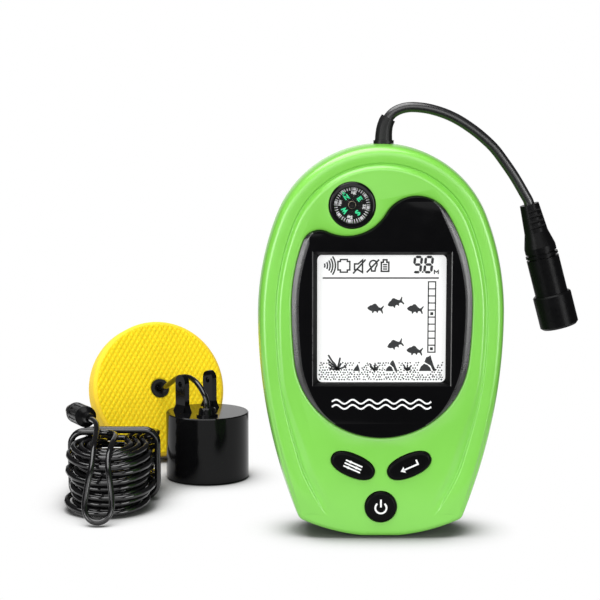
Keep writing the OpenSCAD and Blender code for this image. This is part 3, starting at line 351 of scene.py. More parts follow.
# Egg shapes: half width, top, height of the widest place, radii of crown, flank, bottom and corner,
# half width of the foot, and height of the base
RIM_W = 7.3
BODY = (45, 144, 82, 41, 202, 70, 4, 7, 0)
PANEL = (45 - RIM_W, 144 - RIM_W, 82, 41 - RIM_W, 202 - RIM_W, 70 - RIM_W, 6, 5, 4.5)
FINE = 6


def arcs(inset, rows):
    """Arcs on end, from rows of centre, radius, start and end turn, and number of steps."""
    return [p for c, r, start, end, n in rows for p in arc(c, r - inset, start, end, n * FINE)]


# Front of the panel and inside of its wall; the rim leans back above a level height
PANEL_Y, INNER_Y = -12.6, -10.2
LEVEL_Z = 41
LEAN = 0.9 / (144 - RIM_W - LEVEL_Z)
WALL, INSET = 2.6, 3.7


def egg(g, inset):
    w, top, wide, crown_r, flank_r, bottom_r, corner_r, foot, base = g
    crown = (0, top - crown_r)
    upper_r = side_radius(w, crown[1] - wide, crown_r)
    upper, lower = (w - upper_r, wide), (w - flank_r, wide)
    low = (0, base + math.sqrt(bottom_r ** 2 - foot ** 2))
    corner = crossing(lower, flank_r - corner_r, low, bottom_r - corner_r)
    a, b, c = bearing(upper, crown), bearing(lower, corner), bearing(low, corner)
    end = math.degrees(math.acos((low[1] - base - inset) / (bottom_r - inset))) - 90
    right = arcs(inset, ((crown, crown_r, 90, a, 10), (upper, upper_r, a, 0, 6), (lower, flank_r, 0, b, 10),
                         (corner, corner_r, b, c, 4), (low, bottom_r, c, end, 4)))
    right.append(on_circle(low, bottom_r - inset, end))
    return [(-x, z) for x, z in reversed(right[1:])] + right


COMPASS, COMPASS_R = (-10.9, 122.4), 8.4
DIP_SHIFT, DIP_GAP = 1.9, 2.7
DIP_R, HUMP_R, SHOULDER_R, LOW_R = 16.5, 12.6, 6.2, 31.7
BEZEL_HALF, BEZEL_WIDE, BEZEL_LOW = 32.6, 86, 37.4
HUMP_TURN, SHOULDER_TURN = -30.2, 244.5
BEZEL_Y = PANEL_Y - 1.2


def bezel_outline(inset):
    """Clockwise from the hump, round the low side and the shoulder to the dip under the compass."""
    dip = (COMPASS[0] - DIP_SHIFT, COMPASS[1] - COMPASS_R - DIP_GAP + DIP_R)
    hump = on_circle(dip, DIP_R + HUMP_R, HUMP_TURN)
    shoulder = on_circle(dip, DIP_R + SHOULDER_R, SHOULDER_TURN)
    low = (0, BEZEL_LOW + LOW_R)
    right_r = side_radius(BEZEL_HALF - hump[0], hump[1] - BEZEL_WIDE, HUMP_R)
    left_r = side_radius(BEZEL_HALF + shoulder[0], shoulder[1] - BEZEL_WIDE, SHOULDER_R)
    low_r = side_radius(BEZEL_HALF, BEZEL_WIDE - low[1], LOW_R)
    right, left = (BEZEL_HALF - right_r, BEZEL_WIDE), (left_r - BEZEL_HALF, BEZEL_WIDE)
    low_right, low_left = (BEZEL_HALF - low_r, BEZEL_WIDE), (low_r - BEZEL_HALF, BEZEL_WIDE)
    a, b, c = bearing(right, hump), bearing(left, shoulder), bearing(low_right, low)
    return arcs(inset, ((right, right_r, a, 0, 6), (low_right, low_r, 0, c, 3), (low, LOW_R, c, -180 - c, 18),
                        (low_left, low_r, 180 - c, 180, 3), (left, left_r, 180, b, 5),
                        (shoulder, SHOULDER_R, b, SHOULDER_TURN - 180, 7),
                        (dip, DIP_R + 2 * inset, SHOULDER_TURN, 360 + HUMP_TURN, 8),
                        (hump, HUMP_R, 180 + HUMP_TURN, a, 10)))


def ring(outline, y):
    return [(x, y, z) for x, z in outline]


def body_rings(rows):
    """Rings round the body, from rows of inset and depth."""
    return [ring(egg(BODY, inset), y) for inset, y in rows]


def circle(c, r, n=96):
    return arc(c, r, 360, 0, n)


def rounded(w, h, r, c, n=8):
    out = []
    for sx, sz, start in ((1, 1, 90), (1, -1, 0), (-1, -1, -90), (-1, 1, -180)):
        corner = (c[0] + sx * (w / 2 - r), c[1] + sz * (h / 2 - r))
        out += arc(corner, r, start, start - 90, n) + [on_circle(corner, r, start - 90)]
    return out


def prism(outline, y0, y1):
    return loft([ring(outline, y0), ring(outline, y1)])


OVAL, OVAL_HALF, OVAL_TILT, OVAL_SQUARE = (10.3, 27.2), (8.3, 4.1), 24, 2.3
POWER, POWER_R = (0, 11.8), 5.7
KEY_GAP = 0.3


def oval(side, inset, n=144):
    """Outline of an oval key in place; the inner ends sit lower."""
    out = []
    for k in range(n):
        a = -2 * pi * k / n
        c, s = cos(a), sin(a)
        f = (abs(c) ** OVAL_SQUARE + abs(s) ** OVAL_SQUARE) ** (-1 / OVAL_SQUARE)
        u, v = turned(((OVAL_HALF[0] - inset) * f * c, (OVAL_HALF[1] - inset) * f * s), side * OVAL_TILT)
        out.append((side * OVAL[0] + u, OVAL[1] + v))
    return out


# Display housing

# Ridges at the lower sides: the heights from which they change, and over what length below
PLAIN_FALL, END_FALL, PULL_FALL, GROW_FALL = (40, 15), (20, 13), (28, 22), (60, 32)
STEEP_RISE = (0.3, 0.5)
RIDGE_PULL, RIDGE_DEEPER, RIDGE_WIDER = 2.6, 1.3, 1.4
RIDGE_MIDDLE, RIDGE_DEPTH, VALLEY = 15, 0.6, 0.9
# Rounded edge at the seam: inset, and distance from the seam
SEAM = ((0.3, 0.02), (0.22, 0.12), (0, 0.4))
SIDE_Y, BROW_Y = -5, -8
FIT = 0.15
ROUNDING = 4
SHELL_SHARP = 30


def rising(value, start, length):
    return ease((value - start) / length)


def falling(z, start, length):
    return ease((start - z) / length)


def steepness(outline):
    """For each point, 0 where the outline runs level and 1 where it runs upright."""
    n = len(outline)
    return [abs(sin(radians(bearing(outline[k - 1], outline[(k + 1) % n])))) for k in range(n)]


def relief(outline):
    """Share of the groove between rim and panel: whole at the sides and crown, none along the bottom."""
    share = []
    for (_, z), steep in zip(outline, steepness(outline)):
        plain = falling(z, *PLAIN_FALL) * (1 - rising(steep, *STEEP_RISE))
        share.append((1 - plain) * (1 - falling(z, *END_FALL)))
    return share


def drawn_in(outline, past_crest=0.0):
    """The lower ends of the ridges run toward the middle of the panel and grow wider."""
    moved = []
    for x, z in outline:
        shift = RIDGE_PULL * falling(z, *PULL_FALL) + RIDGE_WIDER * past_crest * falling(z, *GROW_FALL)
        moved.append((x - shift * max(-1, min(1, x / RIDGE_MIDDLE)), z))
    return moved


def make_front_shell():
    """Rows of inset, depth behind the panel, share of the lean, and depth along the plain bottom edge."""
    side, brow = SIDE_Y - PANEL_Y, BROW_Y - PANEL_Y
    outer = ((0, side, 0, side), (0.35, brow, 0.5, brow), (0.8, 2.0, 1, 1.1), (1.4, 0.75, 1, 0.34),
             (2.0, 0.2, 1, 0.08), (2.7, -0.15, 1, 0.01), (3.5, -0.27, 1, 0))
    between_rows = ((0.34, -0.24, 1), (0.7, -0.12, 1), (0.9, -0.02, 1))
    inner = ((-0.58, 0.44, 1), (-0.25, 0.47, 1), (0.25, 0.3, 0.6), (0.75, 0.1, 0.3), (1.2, 0.02, 0.1),
             (1.7, 0, 0), (2.1, 0, 0))
    rows = [(egg(BODY, inset), y, lean, low) for inset, y, lean, low in outer]
    crest = drawn_in(rows[-1][0])
    rows[-1] = (crest, *outer[-1][1:])
    first = inner[0][0]
    valley = drawn_in(egg(PANEL, first), VALLEY)
    for share, y, lean in between_rows:
        rows.append(([part_way(p, q, share) for p, q in zip(crest, valley)], y, lean, 0))
    rows += [(drawn_in(egg(PANEL, inset), VALLEY + inset - first), y, lean, 0) for inset, y, lean in inner]
    rim = []
    for outline, y, lean, low in rows:
        level = []
        for (x, z), share in zip(outline, relief(outline)):
            deeper = 1 + RIDGE_DEEPER * falling(z, *GROW_FALL) if abs(y) < RIDGE_DEPTH else 1
            depth = low + (y * deeper - low) * share + LEAN * lean * share * (z - LEVEL_Z)
            level.append((x, PANEL_Y + depth, z))
        rim.append(level)
    inside = body_rings(((INSET, INNER_Y), (WALL + 0.4, -8.4), (WALL, -6), (WALL, -SEAM[0][1])))
    seam = body_rings((inset, -y) for inset, y in SEAM)
    shell = piece("front_shell_moulding", loft(inside + seam + refine(rim, ROUNDING)), ["green"])
    front, back = PANEL_Y - 3, INNER_Y + 1
    lip = ((FIT, back), (FIT, PANEL_Y + 0.34), (0.6, PANEL_Y + 0.11), (1.0, PANEL_Y - 0.02), (1.0, front))
    holes = (circle(COMPASS, COMPASS_R + FIT), oval(-1, -KEY_GAP), oval(1, -KEY_GAP),
             circle(POWER, POWER_R + KEY_GAP))
    opening = loft([ring(bezel_outline(-gap), y) for gap, y in lip])
    carve(shell, [opening] + [prism(hole, front, back) for hole in holes])
    shade(shell, SHELL_SHARP)
    settle(shell, "display", ["front_shell"])


BACK_Y, PAST_BACK = 15, 16
MIDDLE_Z, FLAT_SHARE = 72, 0.985
BAY_Z, BAY_W, BAY_H, BAY_R, BAY_Y = 80, 43.8, 50.1, 0.6, 1.55
BAY_WALL, BAY_WALL_R, BAY_FLOOR = 1.4, 1.5, 1.2
COVER_W, COVER_H, COVER_R, COVER_Z, COVER_Y = 49.8, 61.1, 4, 77.5, 13.3
SCREW_Z, SCREW_R = 50.55, 1.3
WELLS, WELL_R, WELL_Y = ((36.7, 104), (37.2, 60), (24, 16)), 2.4, 8


def make_rear_shell():
    """A shell with a bay for the cells, a seat for its cover, and wells for the case screws."""
    back = ring(egg(BODY, INSET), BACK_Y)
    flat = [(x * FLAT_SHARE, y, MIDDLE_Z + (z - MIDDLE_Z) * FLAT_SHARE) for x, y, z in back]
    skin = [flat, back] + body_rings(((3, 14.3), (1.5, 12), (0.5, 9), (0, 5.5)))
    seam = body_rings(reversed(SEAM))
    inside = body_rings(((WALL, SEAM[0][1]), (WALL, 6), (WALL + 0.4, 9), (INSET, 12)))
    shell = piece("rear_shell_moulding", loft(refine(skin, ROUNDING) + seam + inside), ["green"])
    box = rounded(BAY_W + 2 * BAY_WALL, BAY_H + 2 * BAY_WALL, BAY_WALL_R, (0, BAY_Z))
    carve(shell, [prism(box, BAY_Y - BAY_FLOOR, 12.5)], "UNION")
    seat = rounded(COVER_W, COVER_H, COVER_R, (0, COVER_Z))
    wells = [prism(circle((s * x, z), WELL_R, 48), WELL_Y, PAST_BACK) for s in (-1, 1) for x, z in WELLS]
    carve(shell, [prism(seat, COVER_Y - 0.05, PAST_BACK)] + wells)
    bay = rounded(BAY_W, BAY_H, BAY_R, (0, BAY_Z))
    hole = circle((0, SCREW_Z), SCREW_R, 32)
    carve(shell, [prism(bay, BAY_Y, PAST_BACK), prism(hole, BAY_Y + 1, 14)])
    shade(shell, SHELL_SHARP)
    settle(shell, "display", ["rear_shell"])


SCREEN_Z, SCREEN_W = 81, 46.8
WINDOW_Y, LCD_Y = -11.0, -9.8
BEVEL_SIDE, BEVEL_TOP, BEVEL_LOW = 1.8, 1.5, 0.8

# Slope of the bezel: where it is wide, and rows of inset and share of the way out to the face
SLOPE_STEEP, SLOPE_AWAY = (0.62, 0.33), (17, 6)
SLOPE_ROWS = ((0.06, 0.34), (0.75, 0.61), (1.45, 0.87), (1.9, 0.96), (2.5, 1))
SLIM_FROM, SLIM_SHARE = 0.12, 0.2
SMOOTHINGS, SMOOTH_REACH = 4, 4


def make_bezel():
    """Gloss face with a grained slope at its sides and a bevel round the screen; bright sides and a dark top
    and bottom are painted sheen and painted shade by finish.
    """
    gloss, slope, recess = range(3)
    edge = bezel_outline(0)
    n = len(edge)
    sides = [rising(steep, *SLOPE_STEEP) * rising(abs(x), *SLOPE_AWAY)
             for (x, _), steep in zip(edge, steepness(edge))]
    near = range(-SMOOTH_REACH, SMOOTH_REACH + 1)
    for _ in range(SMOOTHINGS):
        sides = [sum(sides[(k + d) % n] for d in near) / len(near) for k in range(n)]

    def step(inset, y):
        wide, slim = bezel_outline(inset), bezel_outline(SLIM_FROM + inset * SLIM_SHARE)
        return ring([part_way(q, p, f) for p, q, f in zip(wide, slim, sides)], y)
    band = [ring(edge, INNER_Y), ring(edge, PANEL_Y - 0.02)]
    band += [step(inset, PANEL_Y + share * (BEZEL_Y - PANEL_Y)) for inset, share in SLOPE_ROWS]
    verts, faces = loft(band, (False, False))
    # Painted sheen: the wide slope at the sides takes the lighter, shinier finish, and the rest stays gloss
    marks = [gloss] * n + [slope if f > 0.02 else gloss for f in sides] * len(SLOPE_ROWS)
    half = SCREEN_W / 2

    def level(y, f):
        x = half + f * BEVEL_SIDE
        top, low = SCREEN_Z + half + f * BEVEL_TOP, SCREEN_Z - half - f * BEVEL_LOW
        return [(-x, y, top), (x, y, top), (x, y, low), (-x, y, low)]
    face_edge = level(BEZEL_Y, 1)
    base = len(verts)
    verts = verts + face_edge + level(BEZEL_Y + 0.2, 0.82) + level(WINDOW_Y - 0.3, 0) + level(WINDOW_Y, 0)
    outer = list(range(base - n, base))
    flat = [[Vector((verts[i][0], verts[i][2], 0)) for i in outer],
            [Vector((p[0], p[2], 0)) for p in reversed(face_edge)]]
    index = outer + [base + 3, base + 2, base + 1, base]
    for tri in tessellate_polygon(flat):
        faces.append(tuple(index[i] for i in tri))
        marks.append(gloss)
    for level_no in range(3):
        for k in range(4):
            a, b = base + 4 * level_no + k, base + 4 * level_no + (k + 1) % 4
            faces.append((a, b, b + 4, a + 4))
            # Painted light: the side bevels take the bright slope finish, and the top and low bevels the dark
            # recess finish
            marks.append(slope if k % 2 and level_no == 0 else recess)
    piece("bezel_moulding", (verts, faces), ["gloss", "slope", "recess"], "display", ["bezel"],
          20, marks)


# Keys: rows of inset, and of how far they stand out of the panel
KEY_FOOT_Y, KEY_PROUD = -9.8, 1.3
KEY_ROWS = ((0, 0.5), (0.1, 0.8), (0.35, 1.05), (0.7, 1.22), (1.1, KEY_PROUD), (1.3, KEY_PROUD))


def make_keys():
    levels = [(0, KEY_FOOT_Y)] + [(inset, PANEL_Y - proud) for inset, proud in KEY_ROWS]
    for side, name in ((-1, "left_key"), (1, "right_key")):
        cap = loft([ring(oval(side, inset), y) for inset, y in levels])
        piece(name + "_cap", cap, ["key"], name, [name])
    cap = loft([ring(circle(POWER, POWER_R - inset), y) for inset, y in levels])
    piece("power_key_cap", cap, ["key"], "power_key", ["power_key"])


# Printed and displayed marks

INK_LIFT, LEVEL_LIFT = 0.015, 0.004
MITRE_LIMIT = 0.4


class Marks:
    """Flat marks, drawn in millimetres to the right of and above a point; a higher level lies in front."""

    def __init__(self):
        self.shapes = []

    def shape(self, points, level=0):
        self.shapes.append(([(float(x), float(y)) for x, y in points], level))

    def box(self, x0, y0, x1, y1):
        self.shape([(x0, y0), (x1, y0), (x1, y1), (x0, y1)])

    def disc(self, c, r, n=20, level=0):
        self.shape([on_circle(c, r, 360 * k / n) for k in range(n)], level)

    def line(self, points, w, closed=False, level=0):
        """A strip of that width with mitred corners."""
        n = len(points)
        sides = []
        for k, p in enumerate(points):
            before = points[k - 1] if k or closed else None
            after = points[(k + 1) % n] if k < n - 1 or closed else None
            ways = [Vector(b) - Vector(a) for a, b in ((before, p), (p, after)) if a and b]
            normals = [Vector((-v.y, v.x)).normalized() for v in ways]
            bend = sum(normals, Vector((0, 0))).normalized()
            reach = w / 2 / max(MITRE_LIMIT, bend.dot(normals[0]))
            sides.append((Vector(p) - bend * reach, Vector(p) + bend * reach))
        for k in range(n if closed else n - 1):
            (a, b), (c, d) = sides[k], sides[(k + 1) % n]
            self.shape([a, c, d, b], level)

    def bow(self, c, r, start, end, w, n=24):
        turns = [start + (end - start) * k / n for k in range(n + 1)]
        inner, outer = ([on_circle(c, r + side * w / 2, turn) for turn in turns] for side in (-1, 1))
        for k in range(n):
            self.shape([inner[k], outer[k], outer[k + 1], inner[k + 1]])

    def lay(self, name, origin, finish, body, slot, turn=0.0):
        verts, faces = [], []
        for points, level in self.shapes:
            base = len(verts)
            for x, z in (turned(p, turn) for p in points):
                verts.append((origin[0] + x, origin[1] - LEVEL_LIFT * level, origin[2] + z))
            for a, b, d in tessellate_polygon([[Vector((x, y, 0)) for x, y in points]]):
                (ax, ay), (bx, by), (dx, dy) = points[a], points[b], points[d]
                area = (bx - ax) * (dy - ay) - (dx - ax) * (by - ay)
                faces.append((base + a, base + b, base + d) if area > 0 else (base + a, base + d, base + b))
        settle(mesh_object(name, verts, faces, [finish]), body)


SEGMENTS = {
    "a": ((0, 6), (3, 6)), "b": ((3, 6), (3, 3)), "c": ((3, 3), (3, 0)), "d": ((0, 0), (3, 0)),
    "e": ((0, 3), (0, 0)), "f": ((0, 6), (0, 3)), "g": ((0, 3), (3, 3)),
}
DIGIT_W, DIGIT_H, DIGIT_SLANT = 0.82, 0.92, 0.1
BAR_W, BAR_GAP = 0.96, 0.1


def digit(marks, lit, x, y):
    """A slanted digit of bars with pointed ends."""
    for name in lit:
        p, q = (Vector((x + u * DIGIT_W + v * DIGIT_SLANT, y + v * DIGIT_H)) for u, v in SEGMENTS[name])
        along = (q - p).normalized()
        p, q = p + along * BAR_GAP, q - along * BAR_GAP
        along = along * BAR_W / 2
        across = Vector((-along.y, along.x))
        marks.shape([p, p + along + across, q - along + across, q, q - along - across, p + along - across])


FISH = ((-2.9, -0.1), (-2.5, 0.35), (-1.9, 0.8), (-1.2, 1), (-0.7, 1.45), (0, 1.5), (0.5, 1.15), (1.1, 0.7),
        (1.8, 0.42), (2.3, 0.75), (2.85, 1.3), (3.1, 1.1), (2.75, 0.4), (2.6, 0), (2.95, -0.6), (3.1, -1.1),
        (2.75, -1.2), (2.2, -0.55), (1.75, -0.4), (1.3, -0.55), (1.15, -1.15), (0.85, -1.2), (0.5, -0.8),
        (-0.2, -0.85), (-0.5, -1.45), (-0.85, -1.5), (-1.05, -0.9), (-1.9, -0.75), (-2.5, -0.5))
FISH_TALL = 1.2


def fish(marks, x, y, turn):
    """A plain fish, facing left."""
    spots = [turned((u, FISH_TALL * v), turn) for u, v in FISH]
    marks.shape([(x + u, y + v) for u, v in reversed(spots)])


def make_screen():
    outline = rounded(SCREEN_W - 0.1, SCREEN_W - 0.1, 1.9, (0, SCREEN_Z))
    piece("lcd_face", prism(outline, LCD_Y + 0.01, LCD_Y - 0.02), ["lcd"], "display")
    ink = Marks()
    # Top row: waves, a frame, a loudspeaker and a bulb struck out, a battery, and the depth in metres
    for k in range(5):
        ink.bow((-22.4, 19.4), 1.8 + 0.95 * k, -24 - 3 * k, 24 + 3 * k, 0.56)
    ink.line([(-15, 21.6), (-12.5, 21.6), (-12.5, 20.9), (-11.6, 20.9), (-11.6, 17.8), (-12.5, 17.8),
              (-12.5, 17), (-15, 17), (-15, 17.8), (-15.9, 17.8), (-15.9, 20.9), (-15, 20.9)],
             0.55, True)
    ink.line([(-9.9, 17.9), (-9.9, 20), (-8.6, 20), (-7, 21.4), (-7, 16.9), (-8.6, 17.9)], 0.58, True)
    ink.line([(-10.4, 16.5), (-5.9, 21.6)], 0.6, level=1)
    ink.bow((-3.1, 19.9), 1.35, -50, 230, 0.58)
    ink.line([(-3.95, 18.85), (-3.7, 17.4), (-2.5, 17.4), (-2.25, 18.85)], 0.58)
    ink.line([(-5.5, 16.9), (-1, 21.6)], 0.6, level=1)
    ink.line([(-0.2, 17.3), (-0.2, 20.6), (0.5, 20.6), (0.5, 21.5), (1.8, 21.5), (1.8, 20.6), (2.5, 20.6),
              (2.5, 17.3)], 0.58, True)
    for k in range(3):
        ink.box(0.4, 17.9 + 0.8 * k, 1.9, 18.4 + 0.8 * k)
    digit(ink, "abcdfg", 11.4, 17)
    ink.disc((14.75, 17.05), 0.34)
    digit(ink, "abcdefg", 15.35, 17)
    ink.line([(19, 16.3), (19, 17.6), (19.7, 17), (20.4, 17.6), (20.4, 16.3)], 0.42)
    ink.box(-21.4, 14.6, 20.6, 15.15)
    # Depth ladder on the right
    left, right, top, step, half_line = 16.9, 19.5, 13.5, 2.58, 0.23
    for k in range(11):
        ink.box(left - half_line, top - step * k - half_line, right + half_line, top - step * k + half_line)
    for x in (left, right):
        ink.box(x - half_line, top - step * 10, x + half_line, top)
    for k in (4, 9):
        ink.box(17.65, top - step * (k + 0.72), 18.75, top - step * (k + 0.3))
    for x, y, turn in ((-2.35, 3.7, -8), (4.9, 5.85, 16), (12.05, 3.5, -8), (4.9, -9.45, 16),
                       (12, -11.75, -8)):
        fish(ink, x, y, turn)
    make_seabed(ink)
    ink.lay("lcd_marks", (0, LCD_Y - 0.035, SCREEN_Z), "ink", "display", "lcd_glass")


ROCKS = (
    ((-10.3, -19.25), (-9.5, -17.8), (-9.1, -17.4), (-8.7, -16.6), (-8.3, -17.3), (-7.7, -19.25)),
    ((3.1, -16.7), (3.6, -15.7), (4.3, -15.2), (4.9, -16.4), (5.4, -17.8), (6, -19.3), (5, -19.3),
     (4.4, -17.9)),
    ((1.5, -19.3), (2, -18.1), (2.9, -17.3), (3.8, -17.7), (4.5, -19.3)),
    ((15.7, -15.9), (16.3, -14.2), (17.2, -13.9), (17.9, -13.4), (18.4, -15.1), (19.1, -17.2),
     (20, -19.25), (18.9, -19.25), (18, -17.3)),
    ((13.7, -19.25), (14.4, -17.6), (15.6, -16.5), (16.9, -17), (17.8, -18), (18.3, -19.25)),
)

# Weeds: root, size, and tips of the blades
WEEDS = (
    ((-15.9, -18.9), 1.0, ((-3.4, 5.6), (-3.6, 3.9), (-3.3, 2.2), (-2.9, 0.6), (0.9, 4.6), (1.3, 2.6),
                           (3.1, 1.5))),
    ((-2.7, -19.2), 0.55, ((-2.9, 5.2), (-2.6, 3.2), (0.9, 4.6), (3.1, 3.4), (2.8, 1.4))),
    ((9.4, -19.2), 0.5, ((-2.6, 4.6), (-2.4, 2.6), (0.3, 4.8), (2.8, 3.8), (2.6, 1.6))),
)
BLADE_BENDS = ((0, 0), (0.25, 0.35), (0.62, 0.62), (1, 1))
WEED_FOOT = (-16, -17.2, 1.6)


def make_seabed(ink):
    taken = [WEED_FOOT]
    for rock in ROCKS:
        ink.shape(reversed(rock))
        middle = [sum(p[i] for p in rock) / len(rock) for i in (0, 1)]
        taken.append((*middle, max(abs(p[0] - rock[0][0]) for p in rock) * 0.6))
    for (x, y), size, tips in WEEDS:
        for tx, ty in tips:
            bend = [(x + f * tx * size, y + g * ty * size) for f, g in BLADE_BENDS]
            ink.line(smooth_path(bend, 3), 0.4 + 0.26 * size)
    # Pebbles in staggered rows, fewer in the upper ones
    left, low, end, step, rise, shift = -22.4, -22.3, 22.5, 0.985, 0.86, 0.49
    rng = random.Random(5)
    for row in range(8):
        for column in range(46):
            x = left + column * step + shift * (row % 2) + rng.uniform(-0.2, 0.2)
            y = low + row * rise + rng.uniform(-0.18, 0.18)
            if x > end or (row > 4 and rng.random() < 0.22) or rng.random() < 0.03:
                continue
            if any((x - a) ** 2 + (y - b) ** 2 < r * r for a, b, r in taken):
                continue
            ink.disc((x, y), rng.uniform(0.28, 0.36), 6)


def make_prints():
    y = PANEL_Y - KEY_PROUD - INK_LIFT
    bars = Marks()
    for k in (-1, 0, 1):
        bars.line([(-3.3, 1.15 * k), (3.3, 1.15 * k)], 0.55)
        bars.disc((-1.4 if k else 1.4, 1.15 * k), 0.5, level=1)
    bars.lay("left_key_mark", (-OVAL[0], y, OVAL[1]), "print", "left_key", "white_plastic", -OVAL_TILT)
    arrow = Marks()
    arrow.line([(3.2, 1.3), (3.2, -0.5), (-2.6, -0.5)], 0.6)
    arrow.shape([(-3.7, -0.5), (-2.1, -1.7), (-2.1, 0.7)])
    arrow.lay("right_key_mark", (OVAL[0], y, OVAL[1]), "print", "right_key", "white_plastic", OVAL_TILT)
    power = Marks()
    power.bow((0, -0.15), 2.05, 130, 410, 0.66)
    power.line([(0, 0.05), (0, 2.95)], 0.66)
    power.lay("power_key_mark", (POWER[0], y, POWER[1]), "print", "power_key", "white_plastic")
    wave = Marks()
    for row in (0.95, -0.95):
        wave.line([(x / 4, row + 0.75 * sin(x / 4 * pi / 3)) for x in range(-72, 73)], 0.6)
    wave.lay("bezel_mark", (0, BEZEL_Y - INK_LIFT, 50.2), "print", "display", "white_plastic")


CARD_Y, CARD_TURN = -10.6, 36
LETTERS = {
    "N": [[(-0.62, -0.85), (-0.62, 0.85), (0.62, -0.85), (0.62, 0.85)]],
    "E": [[(0.6, 0.72), (-0.6, 0.72), (-0.6, -0.72), (0.6, -0.72)], [(-0.45, 0), (0.45, 0)]],
    "S": [[(0.55, 0.6), (0.2, 0.8), (-0.3, 0.75), (-0.55, 0.42), (-0.3, 0.12), (0.3, -0.12), (0.55, -0.42),
           (0.3, -0.75), (-0.2, -0.8), (-0.55, -0.6)]],
    "W": [[(-0.95, 0.8), (-0.5, -0.75), (0, 0.4), (0.5, -0.75), (0.95, 0.8)]],
}

# Profiles of radius and height over the card
RING_PROFILE = ((6.5, -3.5), (6.5, 2.5), (6.6, 2.6), (7.15, 2.6), (7.7, 2.52), (8.1, 2.32), (8.34, 2.0),
                (COMPASS_R, 1.6), (COMPASS_R, -3.5))
CAP_PROFILE = ((1.45, 0.0), (1.45, 0.18), (1.25, 0.36), (0.8, 0.5), (0.35, 0.56), (0.05, 0.57))


def make_compass():
    """A card with ticks, four large points in green and four small ones between them, and its ring."""
    white, green = Marks(), Marks()
    for k in range(40):
        heavy = k % 5 == 0
        tick = [on_circle((0, 0), r, 90 - 9 * k) for r in ((5.3, 6.4) if heavy else (5.25, 6.45))]
        white.line(tick, 1.05 if heavy else 0.3)
    for k, strokes in enumerate(LETTERS.values()):
        for level, stroke in enumerate(strokes):
            spots = [(0.98 * x, 3.5 + 0.98 * y) for x, y in stroke]
            green.line([turned(p, -90 * k) for p in spots], 0.5, level=level)
    for k, pair in enumerate(("NE", "SE", "SW", "NW")):
        for side, letter in zip((-0.5, 0.5), pair):
            for level, stroke in enumerate(LETTERS[letter]):
                spots = [(side + 0.55 * x, 4.45 + 0.6 * y) for x, y in stroke]
                white.line([turned(p, -45 - 90 * k) for p in spots], 0.26, level=level)
    green.shape([(-0.65, 4.75), (0.65, 4.75), (0, 6.2)], 2)
    seat = (COMPASS[0], CARD_Y - 0.02, COMPASS[1])
    white.lay("card_ticks", seat, "print", "compass_card", "card_white", CARD_TURN)
    green.lay("card_points", seat, "card_green", "compass_card", "card_white", CARD_TURN)

    def place(p):
        return (COMPASS[0] + p[0], CARD_Y - p[2], COMPASS[1] + p[1])
    piece("compass_ring", lathe(RING_PROFILE, place, 72, True), ["ring"], "display",
          ["compass_cup"])
    piece("card_cap", lathe(CAP_PROFILE, place, 40), ["brass"], "compass_card")


# Cords, on the routes of part.scad

def tilted(turn):
    """Unit vector turned that far from upright to the right."""
    return Vector((sin(radians(turn)), 0, cos(radians(turn))))


def tube(name, points, d, finish, body, replaces):
    data = bpy.data.curves.new(name, "CURVE")
    data.dimensions = "3D"
    data.bevel_depth = d / 2 * MM
    data.bevel_resolution = 5
    data.use_fill_caps = True
    spline = data.splines.new("POLY")
    spline.points.add(len(points) - 1)
    for point, p in zip(spline.points, points):
        point.co = (*(Vector(p) * MM), 1)
    data.materials.append(FINISHES[finish])
    obj = linked(name, data)
    settle(obj, body, replaces)
    return obj


BOOT_ROOT = Vector((0.8, 0, 144.6))
BOOT_TILT, BOOT_STEPS, BOOT_STEP = 34, 6, 1.5


def boot_tip():
    p = BOOT_ROOT.copy()
    for i in range(BOOT_STEPS):
        p += BOOT_STEP * tilted(BOOT_TILT * ((i + 0.5) / BOOT_STEPS) ** 2)
    return p


LEAD_D, CABLE_D = 3.8, 2.3
BOOT_UP = tilted(BOOT_TILT)
BOOT_TIP = boot_tip()
JACK_FROM = Vector((54.2, 0, 121.9))
JACK_AXIS = tilted(180 - 15)
LEAD_WAY = ((4.2, 155.1), (6.6, 156.4), (9.6, 157.1), (13, 157.1), (17.4, 156.5), (22.8, 154.9),
            (27.8, 152.6), (32.8, 149.4), (37, 146.1), (41.2, 142.1), (44.9, 137.3), (48.6, 132), (52.2, 126))


def make_lead():
    points = ([BOOT_TIP - 2.5 * BOOT_UP, BOOT_TIP] + [(x, 0, z) for x, z in LEAD_WAY]
              + [JACK_FROM - JACK_AXIS, JACK_FROM + 2 * JACK_AXIS])
    lead = tube("display_lead_cord", smooth_path(points, 6), LEAD_D, "lead", "display", ["display_lead"])


FLOAT_R, FLOAT_HALF, FLOAT_SINK = 30, 6, 0.2
FLOAT_YAW, FLOAT_LEAN = 22, radians(16)
FLOAT_AXIS = Vector((*turned((0, -cos(FLOAT_LEAN)), FLOAT_YAW), sin(FLOAT_LEAN)))
FLOAT_Z = FLOAT_R * cos(FLOAT_LEAN) + FLOAT_HALF * sin(FLOAT_LEAN) - FLOAT_SINK
FLOAT_MID = Vector((-93.6, 123, FLOAT_Z))
HANK_AT = Vector((-104, 46, 0))
HANK_RUN, HANK_HALF, HANK_STEP, HANK_LAYER, HANK_LOOPS, HANK_LAYERS = 15, 17, 3.06, 2.8, 3, 8
HANK_LOW, HANK_DROP, HANK_WAIST, HANK_TAPER, HANK_DOME = 4.4, 3, 4, 0.45, 0.15
LOOP_STEPS = 48


def fan(layer):
    """How far a layer of the hank is turned against the others."""
    return 5 * sin(radians(115 * layer + 50))


